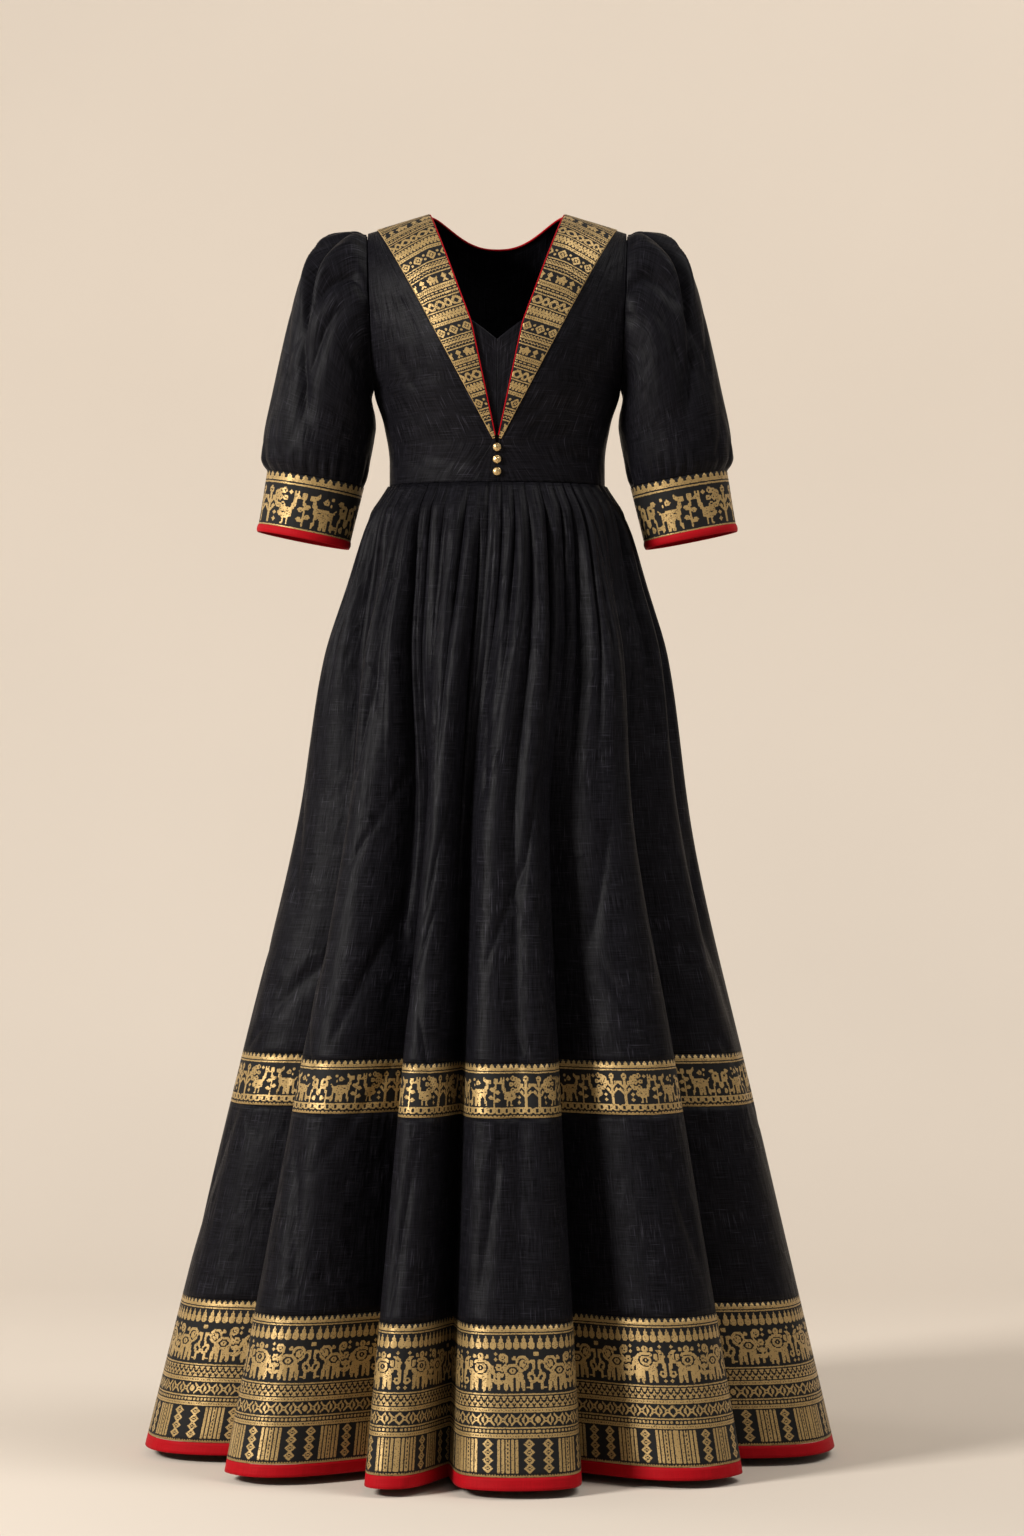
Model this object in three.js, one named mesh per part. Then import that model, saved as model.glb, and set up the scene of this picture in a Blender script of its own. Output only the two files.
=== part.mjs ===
// An anarkali gown as it hangs on its wearer, hollow and open at the neck, cuffs and hem.
//
// Frame: millimetres, +Z up, the front of the gown faces -Y and its left side is at +X.
// The origin is halfway between the two neck points, on the line of the shoulder seams.
// Every cloth piece is a thin closed wall over a surface that is worked out from the sizes
// below, and neighbouring pieces stand one seam gap apart.
import * as THREE from "three";

// ---- Driving sizes ----------------------------------------------------------------
const CLOTH = 1.2; // wall thickness of every piece of cloth
const SEAM = 0.3; // gap between pieces that are sewn together
const WAIST_Z = -330; // the waist seam
const HEM_Z = -1489; // the lower edge of the hem piping
const CHEST_Z = -100; // above this the bodice rolls back to the shoulder seam
const NECK_POINT_X = 83; // where the neckline meets the shoulder seam
const SHOULDER_POINT_X = 157; // the top of the armhole
const SHOULDER_DROP = 22; // how far the shoulder seam falls from neck point to armhole
const ARMHOLE_BOTTOM = -205; // before the shoulder drop
const ARMHOLE_DEPTH = 60; // half of its front to back size
const BUST = { x: 70, z: -175, out: 7, wide: 36, high: 42 }; // the fullness that the darts give

// The bodice, from the waist up: half its width, and its depth before and behind.
const BODICE = [
  { z: WAIST_Z, side: 130, front: 96, back: 91 },
  { z: -300, side: 130, front: 98.5, back: 91 },
  { z: -250, side: 137, front: 107, back: 92 },
  { z: ARMHOLE_BOTTOM, side: 149, front: 113, back: 95 },
  { z: -160, side: 151, front: 114, back: 97 },
  { z: CHEST_Z, side: 153, front: 108, back: 95 },
  { z: 0, side: SHOULDER_POINT_X, front: 104, back: 92 },
];

// The V neckline: half its opening, and the outer edge of the band that is laid along it.
// Below the point of the V the fronts meet, and the table only spaces their columns.
const NECK_V_Z = -278;
const NECKLINE = [
  { z: WAIST_Z, open: SEAM / 2, band: 40 },
  { z: NECK_V_Z - 8, open: SEAM / 2, band: 8 },
  { z: NECK_V_Z, open: 2.2, band: 5 },
  { z: -138, open: 32, band: 80 },
  { z: 0, open: NECK_POINT_X, band: 146 },
];
const BACK_NECK_ROLL = 42; // degrees of the shoulder roll at which the back neck is lowest

// The panel inside the V.
const INSET = { bottom: -294, point: -160, rise: 0.76, tuck: 10, behind: 2 };

const NECK_PIPING = 1; // radius
const BUTTONS = { radius: 5.2, tall: 5.4, first: -287.5, pitch: 14.6, count: 3 };

// The skirt without its folds, from the waist down: half its width, and its depth before
// and behind.
const SKIRT = [
  { z: WAIST_Z, side: 131, front: 97, back: 92 },
  { z: -375, side: 157, front: 124, back: 122 },
  { z: -450, side: 184, front: 154, back: 154 },
  { z: -540, side: 212, front: 186, back: 188 },
  { z: -750, side: 244, front: 232, back: 235 },
  { z: -1020, side: 306, front: 297, back: 300 },
  { z: HEM_Z, side: 420, front: 400, back: 402 },
];
const HEM_SWAY = -8; // how far the hem hangs to the wearer's right

// The tiers of the skirt: the height of each one's upper edge.
const MID_BORDER_Z = -1014;
const LOWER_SKIRT_Z = -1075.5;
const HEM_BORDER_Z = -1307;
const HEM_PIPING_Z = -1474.5;

// The big folds, anticlockwise from above, beginning at the wearer's right of the front.
// valley: its angle at the hem, in degrees from the front; deep: its depth at the hem;
// before and after: how wide its two flanks are, in degrees.
const FOLDS = [
  { valley: -57, deep: 100, before: 7.5, after: 3 },
  { valley: -25.5, deep: 96, before: 6.5, after: 2.4 },
  { valley: -8.7, deep: 62, before: 1.9, after: 1.9 },
  { valley: 20, deep: 78, before: 2.4, after: 6.5 },
  { valley: 54, deep: 88, before: 3, after: 7 },
  { valley: 100, deep: 82, before: 4, after: 6 },
  { valley: 127, deep: 92, before: 5, after: 3.5 },
  { valley: 150, deep: 70, before: 3, after: 5 },
  { valley: 178, deep: 90, before: 3, after: 6.5 },
  { valley: 205, deep: 66, before: 3.5, after: 3 },
  { valley: 231, deep: 94, before: 6, after: 3 },
  { valley: 256, deep: 84, before: 3.5, after: 5 },
];
const FOLD_START_Z = -360; // where the big folds begin
const PLEATS_PER_FOLD = 4; // knife pleats at the waist that open into one fold
const PLEAT = { seam: 1.6, most: 5.5, mostZ: -395, endZ: -640 };
const WAIST_FIRST = -60.2; // angle at the waist of the pleat above the first fold
// Where the cloth of one fold lies at the hem, as shares of the way to the next valley.
const SPREAD = [0, 0.06, 0.16, 0.32, 0.5, 0.68, 0.84, 0.94, 1];
const RIGHT_SEAM = -1; // the side seams, counted in folds
const LEFT_SEAM = 5;
const SEAM_SHARE = 0.003; // half of a side seam's gap, counted in folds

// The right sleeve from the armhole to the cuff: its outer and inner lines seen from the
// front (across and up), its half depth, and the depth of its gathers.
const SLEEVE = [
  { outX: 158.8, outZ: -22, inX: 151.8, inZ: -212, deep: 60, gather: 0.8 },
  { outX: 179, outZ: -14.5, inX: 154, inZ: -222, deep: 67, gather: 3 },
  { outX: 216, outZ: -33, inX: 152.5, inZ: -232, deep: 73, gather: 2.5 },
  { outX: 242, outZ: -76, inX: 150, inZ: -243, deep: 75, gather: 1.2 },
  { outX: 259, outZ: -140, inX: 149, inZ: -256, deep: 74, gather: 0.6 },
  { outX: 274, outZ: -211, inX: 151, inZ: -272, deep: 71, gather: 0.8 },
  { outX: 286, outZ: -272, inX: 155.5, inZ: -296, deep: 68, gather: 1.8 },
  { outX: 286.5, outZ: -293, inX: 159, inZ: -313, deep: 65, gather: 2.4 },
  { outX: 279.5, outZ: -309.5, inX: 164, inZ: -330, deep: 57, gather: 0.8 },
];
const CUFF = [
  { outX: 279.2, outZ: -310.2, inX: 163.8, inZ: -330.8, deep: 57.5 },
  { outX: 288.8, outZ: -369.7, inX: 178.8, inZ: -391.5, deep: 54.5 },
  { outX: 291.5, outZ: -383.5, inX: 182, inZ: -405, deep: 54.2 },
];
const SLEEVE_COLUMNS = 20;

// ---- Materials --------------------------------------------------------------------
const black = { color: 0x151518, roughness: 0.78, metalness: 0 };
const brocade = { color: 0xa58a52, roughness: 0.55, metalness: 0.25 };
const red = { color: 0xb3121f, roughness: 0.7, metalness: 0 };
const gold = { color: 0xd8b070, roughness: 0.32, metalness: 0.9 };

// ---- Small sums -------------------------------------------------------------------
const { clamp, degToRad, lerp, smoothstep } = THREE.MathUtils;
const sinDeg = (a) => Math.sin(degToRad(a));
const cosDeg = (a) => Math.cos(degToRad(a));
const bell = (x) => Math.exp(-0.5 * x * x);
const range = (from, to, steps) =>
  Array.from({ length: steps + 1 }, (_, i) => lerp(from, to, i / steps));

// A column of a table at a height, along straight lines or a smooth curve that never overshoots.
function read(table, z, column, smooth = true) {
  const up = table[0].z < table[table.length - 1].z;
  const rows = up ? table : [...table].reverse();
  const x = clamp(z, rows[0].z, rows[rows.length - 1].z);
  let i = 0;
  while (i < rows.length - 2 && x > rows[i + 1].z) i++;
  const slope = (k) =>
    k < 0 || k > rows.length - 2
      ? 0
      : (rows[k + 1][column] - rows[k][column]) / (rows[k + 1].z - rows[k].z);
  const [a, b] = [rows[i], rows[i + 1]];
  const t = (x - a.z) / (b.z - a.z);
  if (!smooth) return lerp(a[column], b[column], t);
  const tangent = (k) => {
    if (k === 0) return slope(0);
    if (k === rows.length - 1) return slope(k - 1);
    const [s, r] = [slope(k - 1), slope(k)];
    return s * r <= 0 ? 0 : (2 * s * r) / (s + r);
  };
  const h = b.z - a.z;
  return (
    a[column] * (1 + 2 * t) * (1 - t) ** 2 +
    b[column] * t * t * (3 - 2 * t) +
    h * tangent(i) * t * (1 - t) ** 2 -
    h * tangent(i + 1) * t * t * (1 - t)
  );
}

// ---- Walls of cloth ---------------------------------------------------------------
// The wall between two distances from surface(u, v), over the lines us and vs. A ring joins
// its last line of us to its first, so it has no edges there.
function clothWall(surface, us, vs, { from = 0, to = CLOTH, ring = false, du, dv, flip = 1 }) {
  const positions = [];
  const across = new THREE.Vector3();
  const along = new THREE.Vector3();
  for (const v of vs) {
    for (const u of us) {
      const p = surface(u, v);
      across.subVectors(surface(u + du, v), surface(u - du, v));
      along.subVectors(surface(u, v + dv), surface(u, v - dv));
      const normal = across.cross(along).normalize().multiplyScalar(flip);
      for (const d of [from, to]) positions.push(...p.clone().addScaledVector(normal, d));
    }
  }
  const [columns, rows] = [us.length, vs.length];
  const at = (i, j, layer) => 2 * (j * columns + (i % columns)) + layer;
  const index = [];
  const quad = (a, b, c, d) => index.push(a, b, c, a, c, d);
  const last = ring ? columns : columns - 1;
  for (let j = 0; j < rows - 1; j++) {
    for (let i = 0; i < last; i++) {
      quad(at(i, j, 1), at(i + 1, j, 1), at(i + 1, j + 1, 1), at(i, j + 1, 1));
      quad(at(i, j, 0), at(i, j + 1, 0), at(i + 1, j + 1, 0), at(i + 1, j, 0));
    }
  }
  for (let i = 0; i < last; i++) {
    quad(at(i, 0, 0), at(i + 1, 0, 0), at(i + 1, 0, 1), at(i, 0, 1));
    quad(at(i, rows - 1, 1), at(i + 1, rows - 1, 1), at(i + 1, rows - 1, 0), at(i, rows - 1, 0));
  }
  for (let j = 0; !ring && j < rows - 1; j++) {
    quad(at(0, j, 0), at(0, j, 1), at(0, j + 1, 1), at(0, j + 1, 0));
    quad(at(last, j, 1), at(last, j, 0), at(last, j + 1, 0), at(last, j + 1, 1));
  }
  const geometry = new THREE.BufferGeometry();
  geometry.setAttribute("position", new THREE.Float32BufferAttribute(positions, 3));
  geometry.setIndex(faceOut(positions, index));
  geometry.computeVertexNormals();
  return geometry;
}

// The same triangles, turned round if they enclose a negative volume.
function faceOut(positions, index) {
  const corner = (k) => new THREE.Vector3().fromArray(positions, 3 * index[k]);
  let volume = 0;
  for (let k = 0; k < index.length; k += 3) {
    volume += corner(k).dot(corner(k + 1).cross(corner(k + 2)));
  }
  return volume > 0 ? index : index.reverse();
}

// ---- The bodice -------------------------------------------------------------------
// Height g runs from the waist to 0 at the shoulder seam; above CHEST_Z it counts the roll.
function rollOf(g) {
  return g <= CHEST_Z ? 0 : ((g - CHEST_Z) / -CHEST_Z) * 90;
}

function levelOf(g) {
  return g <= CHEST_Z ? g : CHEST_Z - CHEST_Z * sinDeg(rollOf(g));
}

// The bodice's half width, depth and outermost angle at height g on one face.
function section(face, g) {
  const z = levelOf(g);
  const depth = read(BODICE, z, face) * Math.max(cosDeg(rollOf(g)), 1e-6);
  const side = read(BODICE, z, "side");
  const middle = ARMHOLE_BOTTOM / 2;
  const round = Math.sqrt(Math.max(0, 1 - ((z - middle) / middle) ** 2));
  const edge = z <= ARMHOLE_BOTTOM ? 0 : clamp((ARMHOLE_DEPTH * round) / depth, 0, 0.999);
  const outermost = Math.acos(edge);
  return { z, depth, half: side / Math.sin(outermost), outermost };
}

// A point of the bodice at an angle in radians from the middle of that face.
function bodiceAt(face, angle, g) {
  const { z, depth, half } = section(face, g);
  const x = half * Math.sin(angle);
  const fallen = clamp((Math.abs(x) - NECK_POINT_X) / (SHOULDER_POINT_X - NECK_POINT_X), 0, 1.2);
  const drop = SHOULDER_DROP * fallen * ((z - WAIST_Z) / -WAIST_Z);
  const cups =
    face === "front"
      ? BUST.out * bell((Math.abs(x) - BUST.x) / BUST.wide) * bell((z - BUST.z) / BUST.high)
      : 0;
  const y = (depth + cups) * Math.cos(angle);
  return new THREE.Vector3(x, face === "front" ? -y : y, z - drop);
}

const angleOfX = (face, x, g) => Math.asin(clamp(x / section(face, g).half, -1, 1));
const openAt = (g) => read(NECKLINE, levelOf(g), "open", false);
const bandAt = (g) => read(NECKLINE, levelOf(g), "band", false);
const TOP = -0.15; // the shoulder seam's half gap, as a height g

// side is 1 for the wearer's left and -1 for the right. u runs from 0 to 1 under the neck
// band and from there to 2 at the side, so that the band can be laid on the same points.
function frontAt(side) {
  return (u, g) => {
    const inner = angleOfX("front", openAt(g), g);
    const outer = angleOfX("front", bandAt(g), g);
    const far = section("front", g).outermost;
    return bodiceAt("front", side * (u < 1 ? lerp(inner, outer, u) : lerp(outer, far, u - 1)), g);
  };
}

const BAND_COLUMNS = [0, 0.5, 1];
const BAND_ROWS = [NECK_V_Z, -240, -205, -172, -138, -100, -62, -28, TOP];

function frontHalf(side) {
  return clothWall(frontAt(side), [...BAND_COLUMNS, 1.3, 1.62, 2],
    [WAIST_Z + SEAM, NECK_V_Z - 8, ...BAND_ROWS], { du: 0.01, dv: 0.1, flip: side });
}

// The back is one piece. Its columns between the neck points end at the back neckline.
const NECK_SHARE =
  angleOfX("back", NECK_POINT_X, TOP) / section("back", TOP).outermost;

function backTop(share) {
  const across = Math.min(1, Math.abs(share) / NECK_SHARE);
  const roll = lerp(BACK_NECK_ROLL, rollOf(TOP), across ** 2.4);
  return CHEST_Z - (CHEST_Z * roll) / 90;
}

function backSurface(share, t) {
  const g = lerp(WAIST_Z + SEAM, backTop(share), t);
  return bodiceAt("back", share * section("back", g).outermost, g);
}

const NECK_COLUMNS = [-1, -0.78, -0.54, -0.28, 0, 0.28, 0.54, 0.78, 1];

function backBodice() {
  const side = [0.68, 0.85, 1];
  const neck = NECK_COLUMNS.map((k) => k * NECK_SHARE);
  const shares = [...side.map((s) => -s).reverse(), ...neck, ...side];
  const rows = [0, 0.2, 0.38, 0.46, 0.6, 0.74, 0.88, 1];
  return clothWall(backSurface, shares, rows, { du: 0.01, dv: 0.002, flip: -1 });
}

function neckBand(side) {
  return clothWall(frontAt(side), BAND_COLUMNS, BAND_ROWS, {
    from: CLOTH + SEAM, to: 2 * CLOTH + SEAM, du: 0.01, dv: 0.1, flip: side });
}

function insetHalf(side) {
  const surface = (u, t) => {
    const far = openAt(INSET.point + INSET.rise * 32) + INSET.tuck;
    const x = lerp(SEAM / 2, far, u);
    const top = INSET.point + INSET.rise * x;
    const g = lerp(INSET.bottom, top, t);
    const wide = lerp(SEAM / 2, Math.min(far, openAt(g) + INSET.tuck), u);
    return bodiceAt("front", side * angleOfX("front", wide, g), g);
  };
  return clothWall(surface, [0, 0.35, 0.7, 1], [0, 0.25, 0.5, 0.75, 1], {
    from: -CLOTH - INSET.behind, to: -INSET.behind, du: 0.01, dv: 0.01, flip: side });
}

// ---- Piping at the neck ------------------------------------------------------------
// A path that runs straight from each of its points to the next.
class Through extends THREE.Curve {
  constructor(points) {
    super();
    this.points = points;
  }

  getPoint(t, target = new THREE.Vector3()) {
    const at = t * (this.points.length - 1);
    const i = Math.min(Math.floor(at), this.points.length - 2);
    return target.lerpVectors(this.points[i], this.points[i + 1], at - i);
  }

  getUtoTmapping(u) {
    return u;
  }
}

// A cord just beyond the edge of a surface. Each place gives a point of the edge, a step
// along the edge and a step over the surface towards it.
function pipingBeyond(places, outward) {
  const points = places.map(({ edge, along, towards }) => {
    const run = along.normalize();
    const beyond = towards.addScaledVector(run, -towards.dot(run)).normalize();
    const normal = run.cross(beyond).multiplyScalar(outward);
    return edge
      .addScaledVector(beyond, NECK_PIPING + 2 * SEAM)
      .addScaledVector(normal, CLOTH / 2);
  });
  const sides = 6;
  const outline = new THREE.Shape(
    Array.from({ length: sides }, (_, i) => {
      const turn = (i * 360) / sides;
      return new THREE.Vector2(NECK_PIPING * cosDeg(turn), NECK_PIPING * sinDeg(turn));
    }),
  );
  return new THREE.ExtrudeGeometry(outline, {
    steps: points.length - 1, extrudePath: new Through(points), bevelEnabled: false });
}

function frontPiping(side) {
  const surface = frontAt(side);
  const places = [NECK_V_Z + 6, ...BAND_ROWS.slice(1, -1), TOP - 2].map((g) => ({
    edge: surface(0, g),
    along: surface(0, g + 0.1).sub(surface(0, g - 0.1)),
    towards: surface(0, g).sub(surface(0.01, g)),
  }));
  return pipingBeyond(places, side);
}

function backPiping() {
  const places = [-0.98, ...NECK_COLUMNS.slice(1, -1), 0.98].map((k) => {
    const share = k * NECK_SHARE;
    return {
      edge: backSurface(share, 1),
      along: backSurface(share + 0.002, 1).sub(backSurface(share - 0.002, 1)),
      towards: backSurface(share, 1).sub(backSurface(share, 0.998)),
    };
  });
  return pipingBeyond(places, 1);
}

// ---- Buttons ----------------------------------------------------------------------
const DOME = [[0, 0], [0.55, 0], [0.95, 0.35], [1, 0.55], [0.78, 0.85], [0.4, 1], [0, 1]];

// A ball button on the middle of the front, square to the cloth that it is sewn to.
function button(number) {
  const { radius, tall, first, pitch } = BUTTONS;
  const z = first - number * pitch;
  const dome = new THREE.LatheGeometry(
    DOME.map(([out, up]) => new THREE.Vector2(out * radius, up * tall)), 12);
  const slope = bodiceAt("front", 0, z + 4).sub(bodiceAt("front", 0, z - 4)).normalize();
  const normal = new THREE.Vector3(0, -slope.z, slope.y);
  const seat = bodiceAt("front", 0, z).addScaledVector(normal, CLOTH + 2 * SEAM);
  dome.applyQuaternion(
    new THREE.Quaternion().setFromUnitVectors(new THREE.Vector3(0, 1, 0), normal));
  return dome.translate(...seat);
}

// ---- Sleeves ----------------------------------------------------------------------
// A ring of the table at station v, and a point of it at a turn in degrees from its top.
function ringPoint(table, side, turn, v, ripple = 0) {
  const i = clamp(Math.floor(v), 0, table.length - 2);
  const t = v - i;
  const mix = (column) => lerp(table[i][column], table[i + 1][column], t);
  const grow = 1 - (ripple * (table[i].gather === undefined ? 0 : mix("gather"))) / 65;
  const middle = [(mix("outX") + mix("inX")) / 2, (mix("outZ") + mix("inZ")) / 2];
  const reach = [(mix("outX") - mix("inX")) / 2, (mix("outZ") - mix("inZ")) / 2];
  const c = cosDeg(turn) * grow;
  return new THREE.Vector3(
    side * (middle[0] + reach[0] * c),
    -mix("deep") * sinDeg(turn) * grow,
    middle[1] + reach[1] * c,
  );
}

// Alternate columns of a sleeve stand in and out, as its gathers do.
function sleeve(side) {
  const step = 360 / SLEEVE_COLUMNS;
  const surface = (turn, v) => {
    const phase = Math.abs((((turn / step) % 2) + 2) % 2 - 1);
    return ringPoint(SLEEVE, side, turn, v, 2 * phase - 1);
  };
  const turns = range(0, 360 - step, SLEEVE_COLUMNS - 1);
  const stations = SLEEVE.map((_, i) => i);
  return clothWall(surface, turns, stations, { ring: true, du: step, dv: 0.02, flip: side });
}

function cuffRing(side, from, to) {
  const step = 360 / SLEEVE_COLUMNS;
  const surface = (turn, v) => ringPoint(CUFF, side, turn, v);
  const turns = range(0, 360 - step, SLEEVE_COLUMNS - 1);
  return clothWall(surface, turns, [from, to], { ring: true, du: 1, dv: 0.02, flip: side });
}

// ---- The skirt --------------------------------------------------------------------
const valleyAt = (i) =>
  FOLDS[((i % FOLDS.length) + FOLDS.length) % FOLDS.length].valley +
  360 * Math.floor(i / FOLDS.length);
const foldAt = (i) => FOLDS[((i % FOLDS.length) + FOLDS.length) % FOLDS.length];

// How much deep the big folds are at a height, and how far the cloth has moved over from
// its even spacing at the waist.
const deepening = (z) => clamp((FOLD_START_Z - z) / (FOLD_START_Z - HEM_Z), 0, 1.1) ** 0.9;
const settling = (z) => smoothstep(-z, -WAIST_Z + 25, 760);

function pleatDepth(z) {
  const rising = smoothstep(-z, -WAIST_Z, -PLEAT.mostZ);
  const fading = 1 - smoothstep(-z, -PLEAT.mostZ, -PLEAT.endZ);
  return lerp(PLEAT.seam, PLEAT.most, rising) * fading;
}

// A point of the skirt: u counts the big folds round it, each holding four pleats.
function skirtPoint(u, z) {
  const fold = Math.floor(u);
  const place = (u - fold) * (SPREAD.length - 1);
  const k = Math.min(Math.floor(place), SPREAD.length - 2);
  const share = lerp(SPREAD[k], SPREAD[k + 1], place - k);
  const [before, after] = [valleyAt(fold), valleyAt(fold + 1)];
  const atHem = lerp(before, after, share);
  const atWaist = WAIST_FIRST + (u * 360) / FOLDS.length;
  const angle = lerp(atWaist, atHem, settling(z));
  const trough =
    deepening(z) *
    (foldAt(fold).deep * bell((atHem - before) / foldAt(fold).after) +
      foldAt(fold + 1).deep * bell((after - atHem) / foldAt(fold + 1).before));
  const inPleat = (((u * PLEATS_PER_FOLD) % 1) + 1) % 1;
  const pleat = pleatDepth(z) * (1 - Math.abs(2 * inPleat - 1) * 2);
  const inward = trough - pleat;
  const sway = HEM_SWAY * clamp((z - WAIST_Z) / (HEM_Z - WAIST_Z), 0, 1);
  const depth = read(SKIRT, z, cosDeg(angle) > 0 ? "front" : "back");
  return new THREE.Vector3(
    (read(SKIRT, z, "side") - inward) * sinDeg(angle) + sway,
    -(depth - inward) * cosDeg(angle),
    z,
  );
}

function skirtTier(half, heights) {
  const [from, to] = half === "front"
    ? [RIGHT_SEAM, LEFT_SEAM]
    : [LEFT_SEAM, RIGHT_SEAM + FOLDS.length];
  const columns = Math.round((to - from) * (SPREAD.length - 1));
  const us = range(from, to, columns);
  us[0] += SEAM_SHARE;
  us[columns] -= SEAM_SHARE;
  return clothWall(skirtPoint, us, heights, { du: 0.06, dv: 0.5, flip: -1 });
}

const TIERS = [
  { name: "skirt", look: black,
    heights: [WAIST_Z - SEAM, -352, -395, -480, -600, -780, MID_BORDER_Z + SEAM] },
  { name: "mid_border", look: brocade, heights: [MID_BORDER_Z, LOWER_SKIRT_Z + SEAM] },
  { name: "lower_skirt", look: black, heights: [LOWER_SKIRT_Z, HEM_BORDER_Z + SEAM] },
  { name: "hem_border", look: brocade, heights: [HEM_BORDER_Z, HEM_PIPING_Z + SEAM] },
  { name: "hem_piping", look: red, heights: [HEM_PIPING_Z, HEM_Z] },
];

// ---- Assembly ---------------------------------------------------------------------
const gown = new THREE.Group();
gown.name = "anarkali_gown";

function add(name, look, geometry) {
  const mesh = new THREE.Mesh(geometry, new THREE.MeshStandardMaterial(look));
  mesh.name = name;
  gown.add(mesh);
}

const SIDES = [
  { name: "right", side: -1 },
  { name: "left", side: 1 },
];

for (const { name, side } of SIDES) {
  add(`front_bodice_${name}`, black, frontHalf(side));
  add(`neck_inset_${name}`, black, insetHalf(side));
  add(`neck_band_${name}`, brocade, neckBand(side));
  add(`neck_piping_${name}`, red, frontPiping(side));
  add(`sleeve_${name}`, black, sleeve(side));
  add(`cuff_${name}`, brocade, cuffRing(side, 0, 1 - 0.005));
  add(`cuff_piping_${name}`, red, cuffRing(side, 1, 2));
}
add("back_bodice", black, backBodice());
add("neck_piping_back", red, backPiping());

for (let i = 0; i < BUTTONS.count; i++) add(`button_${i + 1}`, gold, button(i));

for (const { name, look, heights } of TIERS) {
  for (const half of ["front", "back"]) add(`${name}_${half}`, look, skirtTier(half, heights));
}

export default gown;
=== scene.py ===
"""A black anarkali gown, as it hangs on its wearer.

The gown is a fitted bodice with a V neck between two brocade bands, puff sleeves in deep
cuffs, and a long pleated skirt with a brocade border at the calf and a deep one at the
hem, edged in red. Every piece of cloth is a thin shell shaped over the form of its solid.
All lengths are in metres, +Z is up and the front faces -Y.
"""

from __future__ import annotations

import logging
import math
from dataclasses import dataclass
from enum import Enum
from typing import Any, Callable, Sequence, Union

import bmesh
import bpy
import numpy as np
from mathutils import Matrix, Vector

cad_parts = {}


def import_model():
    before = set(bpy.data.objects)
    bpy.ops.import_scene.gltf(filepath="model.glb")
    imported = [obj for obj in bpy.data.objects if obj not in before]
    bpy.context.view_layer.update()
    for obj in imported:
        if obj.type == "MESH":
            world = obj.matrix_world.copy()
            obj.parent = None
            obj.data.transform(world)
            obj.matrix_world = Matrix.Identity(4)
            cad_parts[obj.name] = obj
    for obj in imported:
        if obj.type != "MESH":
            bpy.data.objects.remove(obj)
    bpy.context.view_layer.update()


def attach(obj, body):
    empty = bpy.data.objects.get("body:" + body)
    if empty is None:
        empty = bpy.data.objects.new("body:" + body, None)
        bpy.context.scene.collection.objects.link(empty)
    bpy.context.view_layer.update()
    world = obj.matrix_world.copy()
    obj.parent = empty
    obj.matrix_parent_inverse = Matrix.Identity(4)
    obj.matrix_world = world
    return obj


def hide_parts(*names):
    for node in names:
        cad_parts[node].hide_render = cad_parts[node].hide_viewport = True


LOG = logging.getLogger("gown")
Array = np.ndarray
Surface = Callable[[Array, Array], Array]
Relief = Callable[[Array, Array], Array]
Material = bpy.types.Material
Tree = bpy.types.NodeTree
Socket = bpy.types.NodeSocket
Value = Union[Socket, float, Sequence[float]]
Colour = tuple[float, float, float, float]

# The cloth's thickness, the gap at its seams and the heights and widths that pieces share.
CLOTH = 0.0012
SEAM = 0.0003
WAIST_Z = -0.330
HEM_Z = -1.489
CHEST_Z = -0.100
NECK_V_Z = -0.278
NECK_POINT_X = 0.083
SHOULDER_POINT_X = 0.157
SHOULDER_DROP = 0.022
ARMHOLE_BOTTOM = -0.205
ARMHOLE_DEPTH = 0.060
TOP = -0.00015


class Side(Enum):
    """A side of the wearer, as the sign of X."""

    RIGHT = -1
    LEFT = 1

    @property
    def word(self) -> str:
        """The side's name in a piece's name."""
        return self.name.lower()


def smooth(x: Array, low: float, high: float) -> Array:
    """Rise from 0 at low to 1 at high, with level ends."""
    t = np.clip((x - low) / (high - low), 0.0, 1.0)
    return t * t * (3.0 - 2.0 * t)


def bell(x: Array) -> Array:
    """A soft bump of height 1 and half width about 1."""
    return np.exp(-0.5 * x * x)


@dataclass(frozen=True)
class Profile:
    """Sizes tabled against one running length.

    Args:
        at: The running length of each row, rising.
        columns: Each named size, one value a row.
    """

    at: tuple[float, ...]
    columns: dict[str, tuple[float, ...]]

    def read(self, name: str, x: Array, straight: bool = False) -> Array:
        """Read a column along a smooth line that never overshoots its rows.

        Args:
            name: The column.
            x: Where to read it.
            straight: Whether to join the rows with straight lines instead.

        Returns:
            One value for each x.
        """
        xs, ys = np.array(self.at), np.array(self.columns[name])
        x = np.clip(x, xs[0], xs[-1])
        if straight:
            return np.interp(x, xs, ys)
        gap, slope = np.diff(xs), np.diff(ys) / np.diff(xs)
        tangent = np.empty_like(ys)
        tangent[0], tangent[-1] = slope[0], slope[-1]
        both = slope[:-1] * slope[1:]
        total = np.where(both > 0, slope[:-1] + slope[1:], 1.0)
        tangent[1:-1] = np.where(both > 0, 2.0 * both / total, 0.0)
        i = np.clip(np.searchsorted(xs, x, side="right") - 1, 0, len(xs) - 2)
        t = (x - xs[i]) / gap[i]
        return (
            ys[i] * (1 + 2 * t) * (1 - t) ** 2
            + ys[i + 1] * t * t * (3 - 2 * t)
            + gap[i] * tangent[i] * t * (1 - t) ** 2
            - gap[i] * tangent[i + 1] * t * t * (1 - t)
        )


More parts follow.
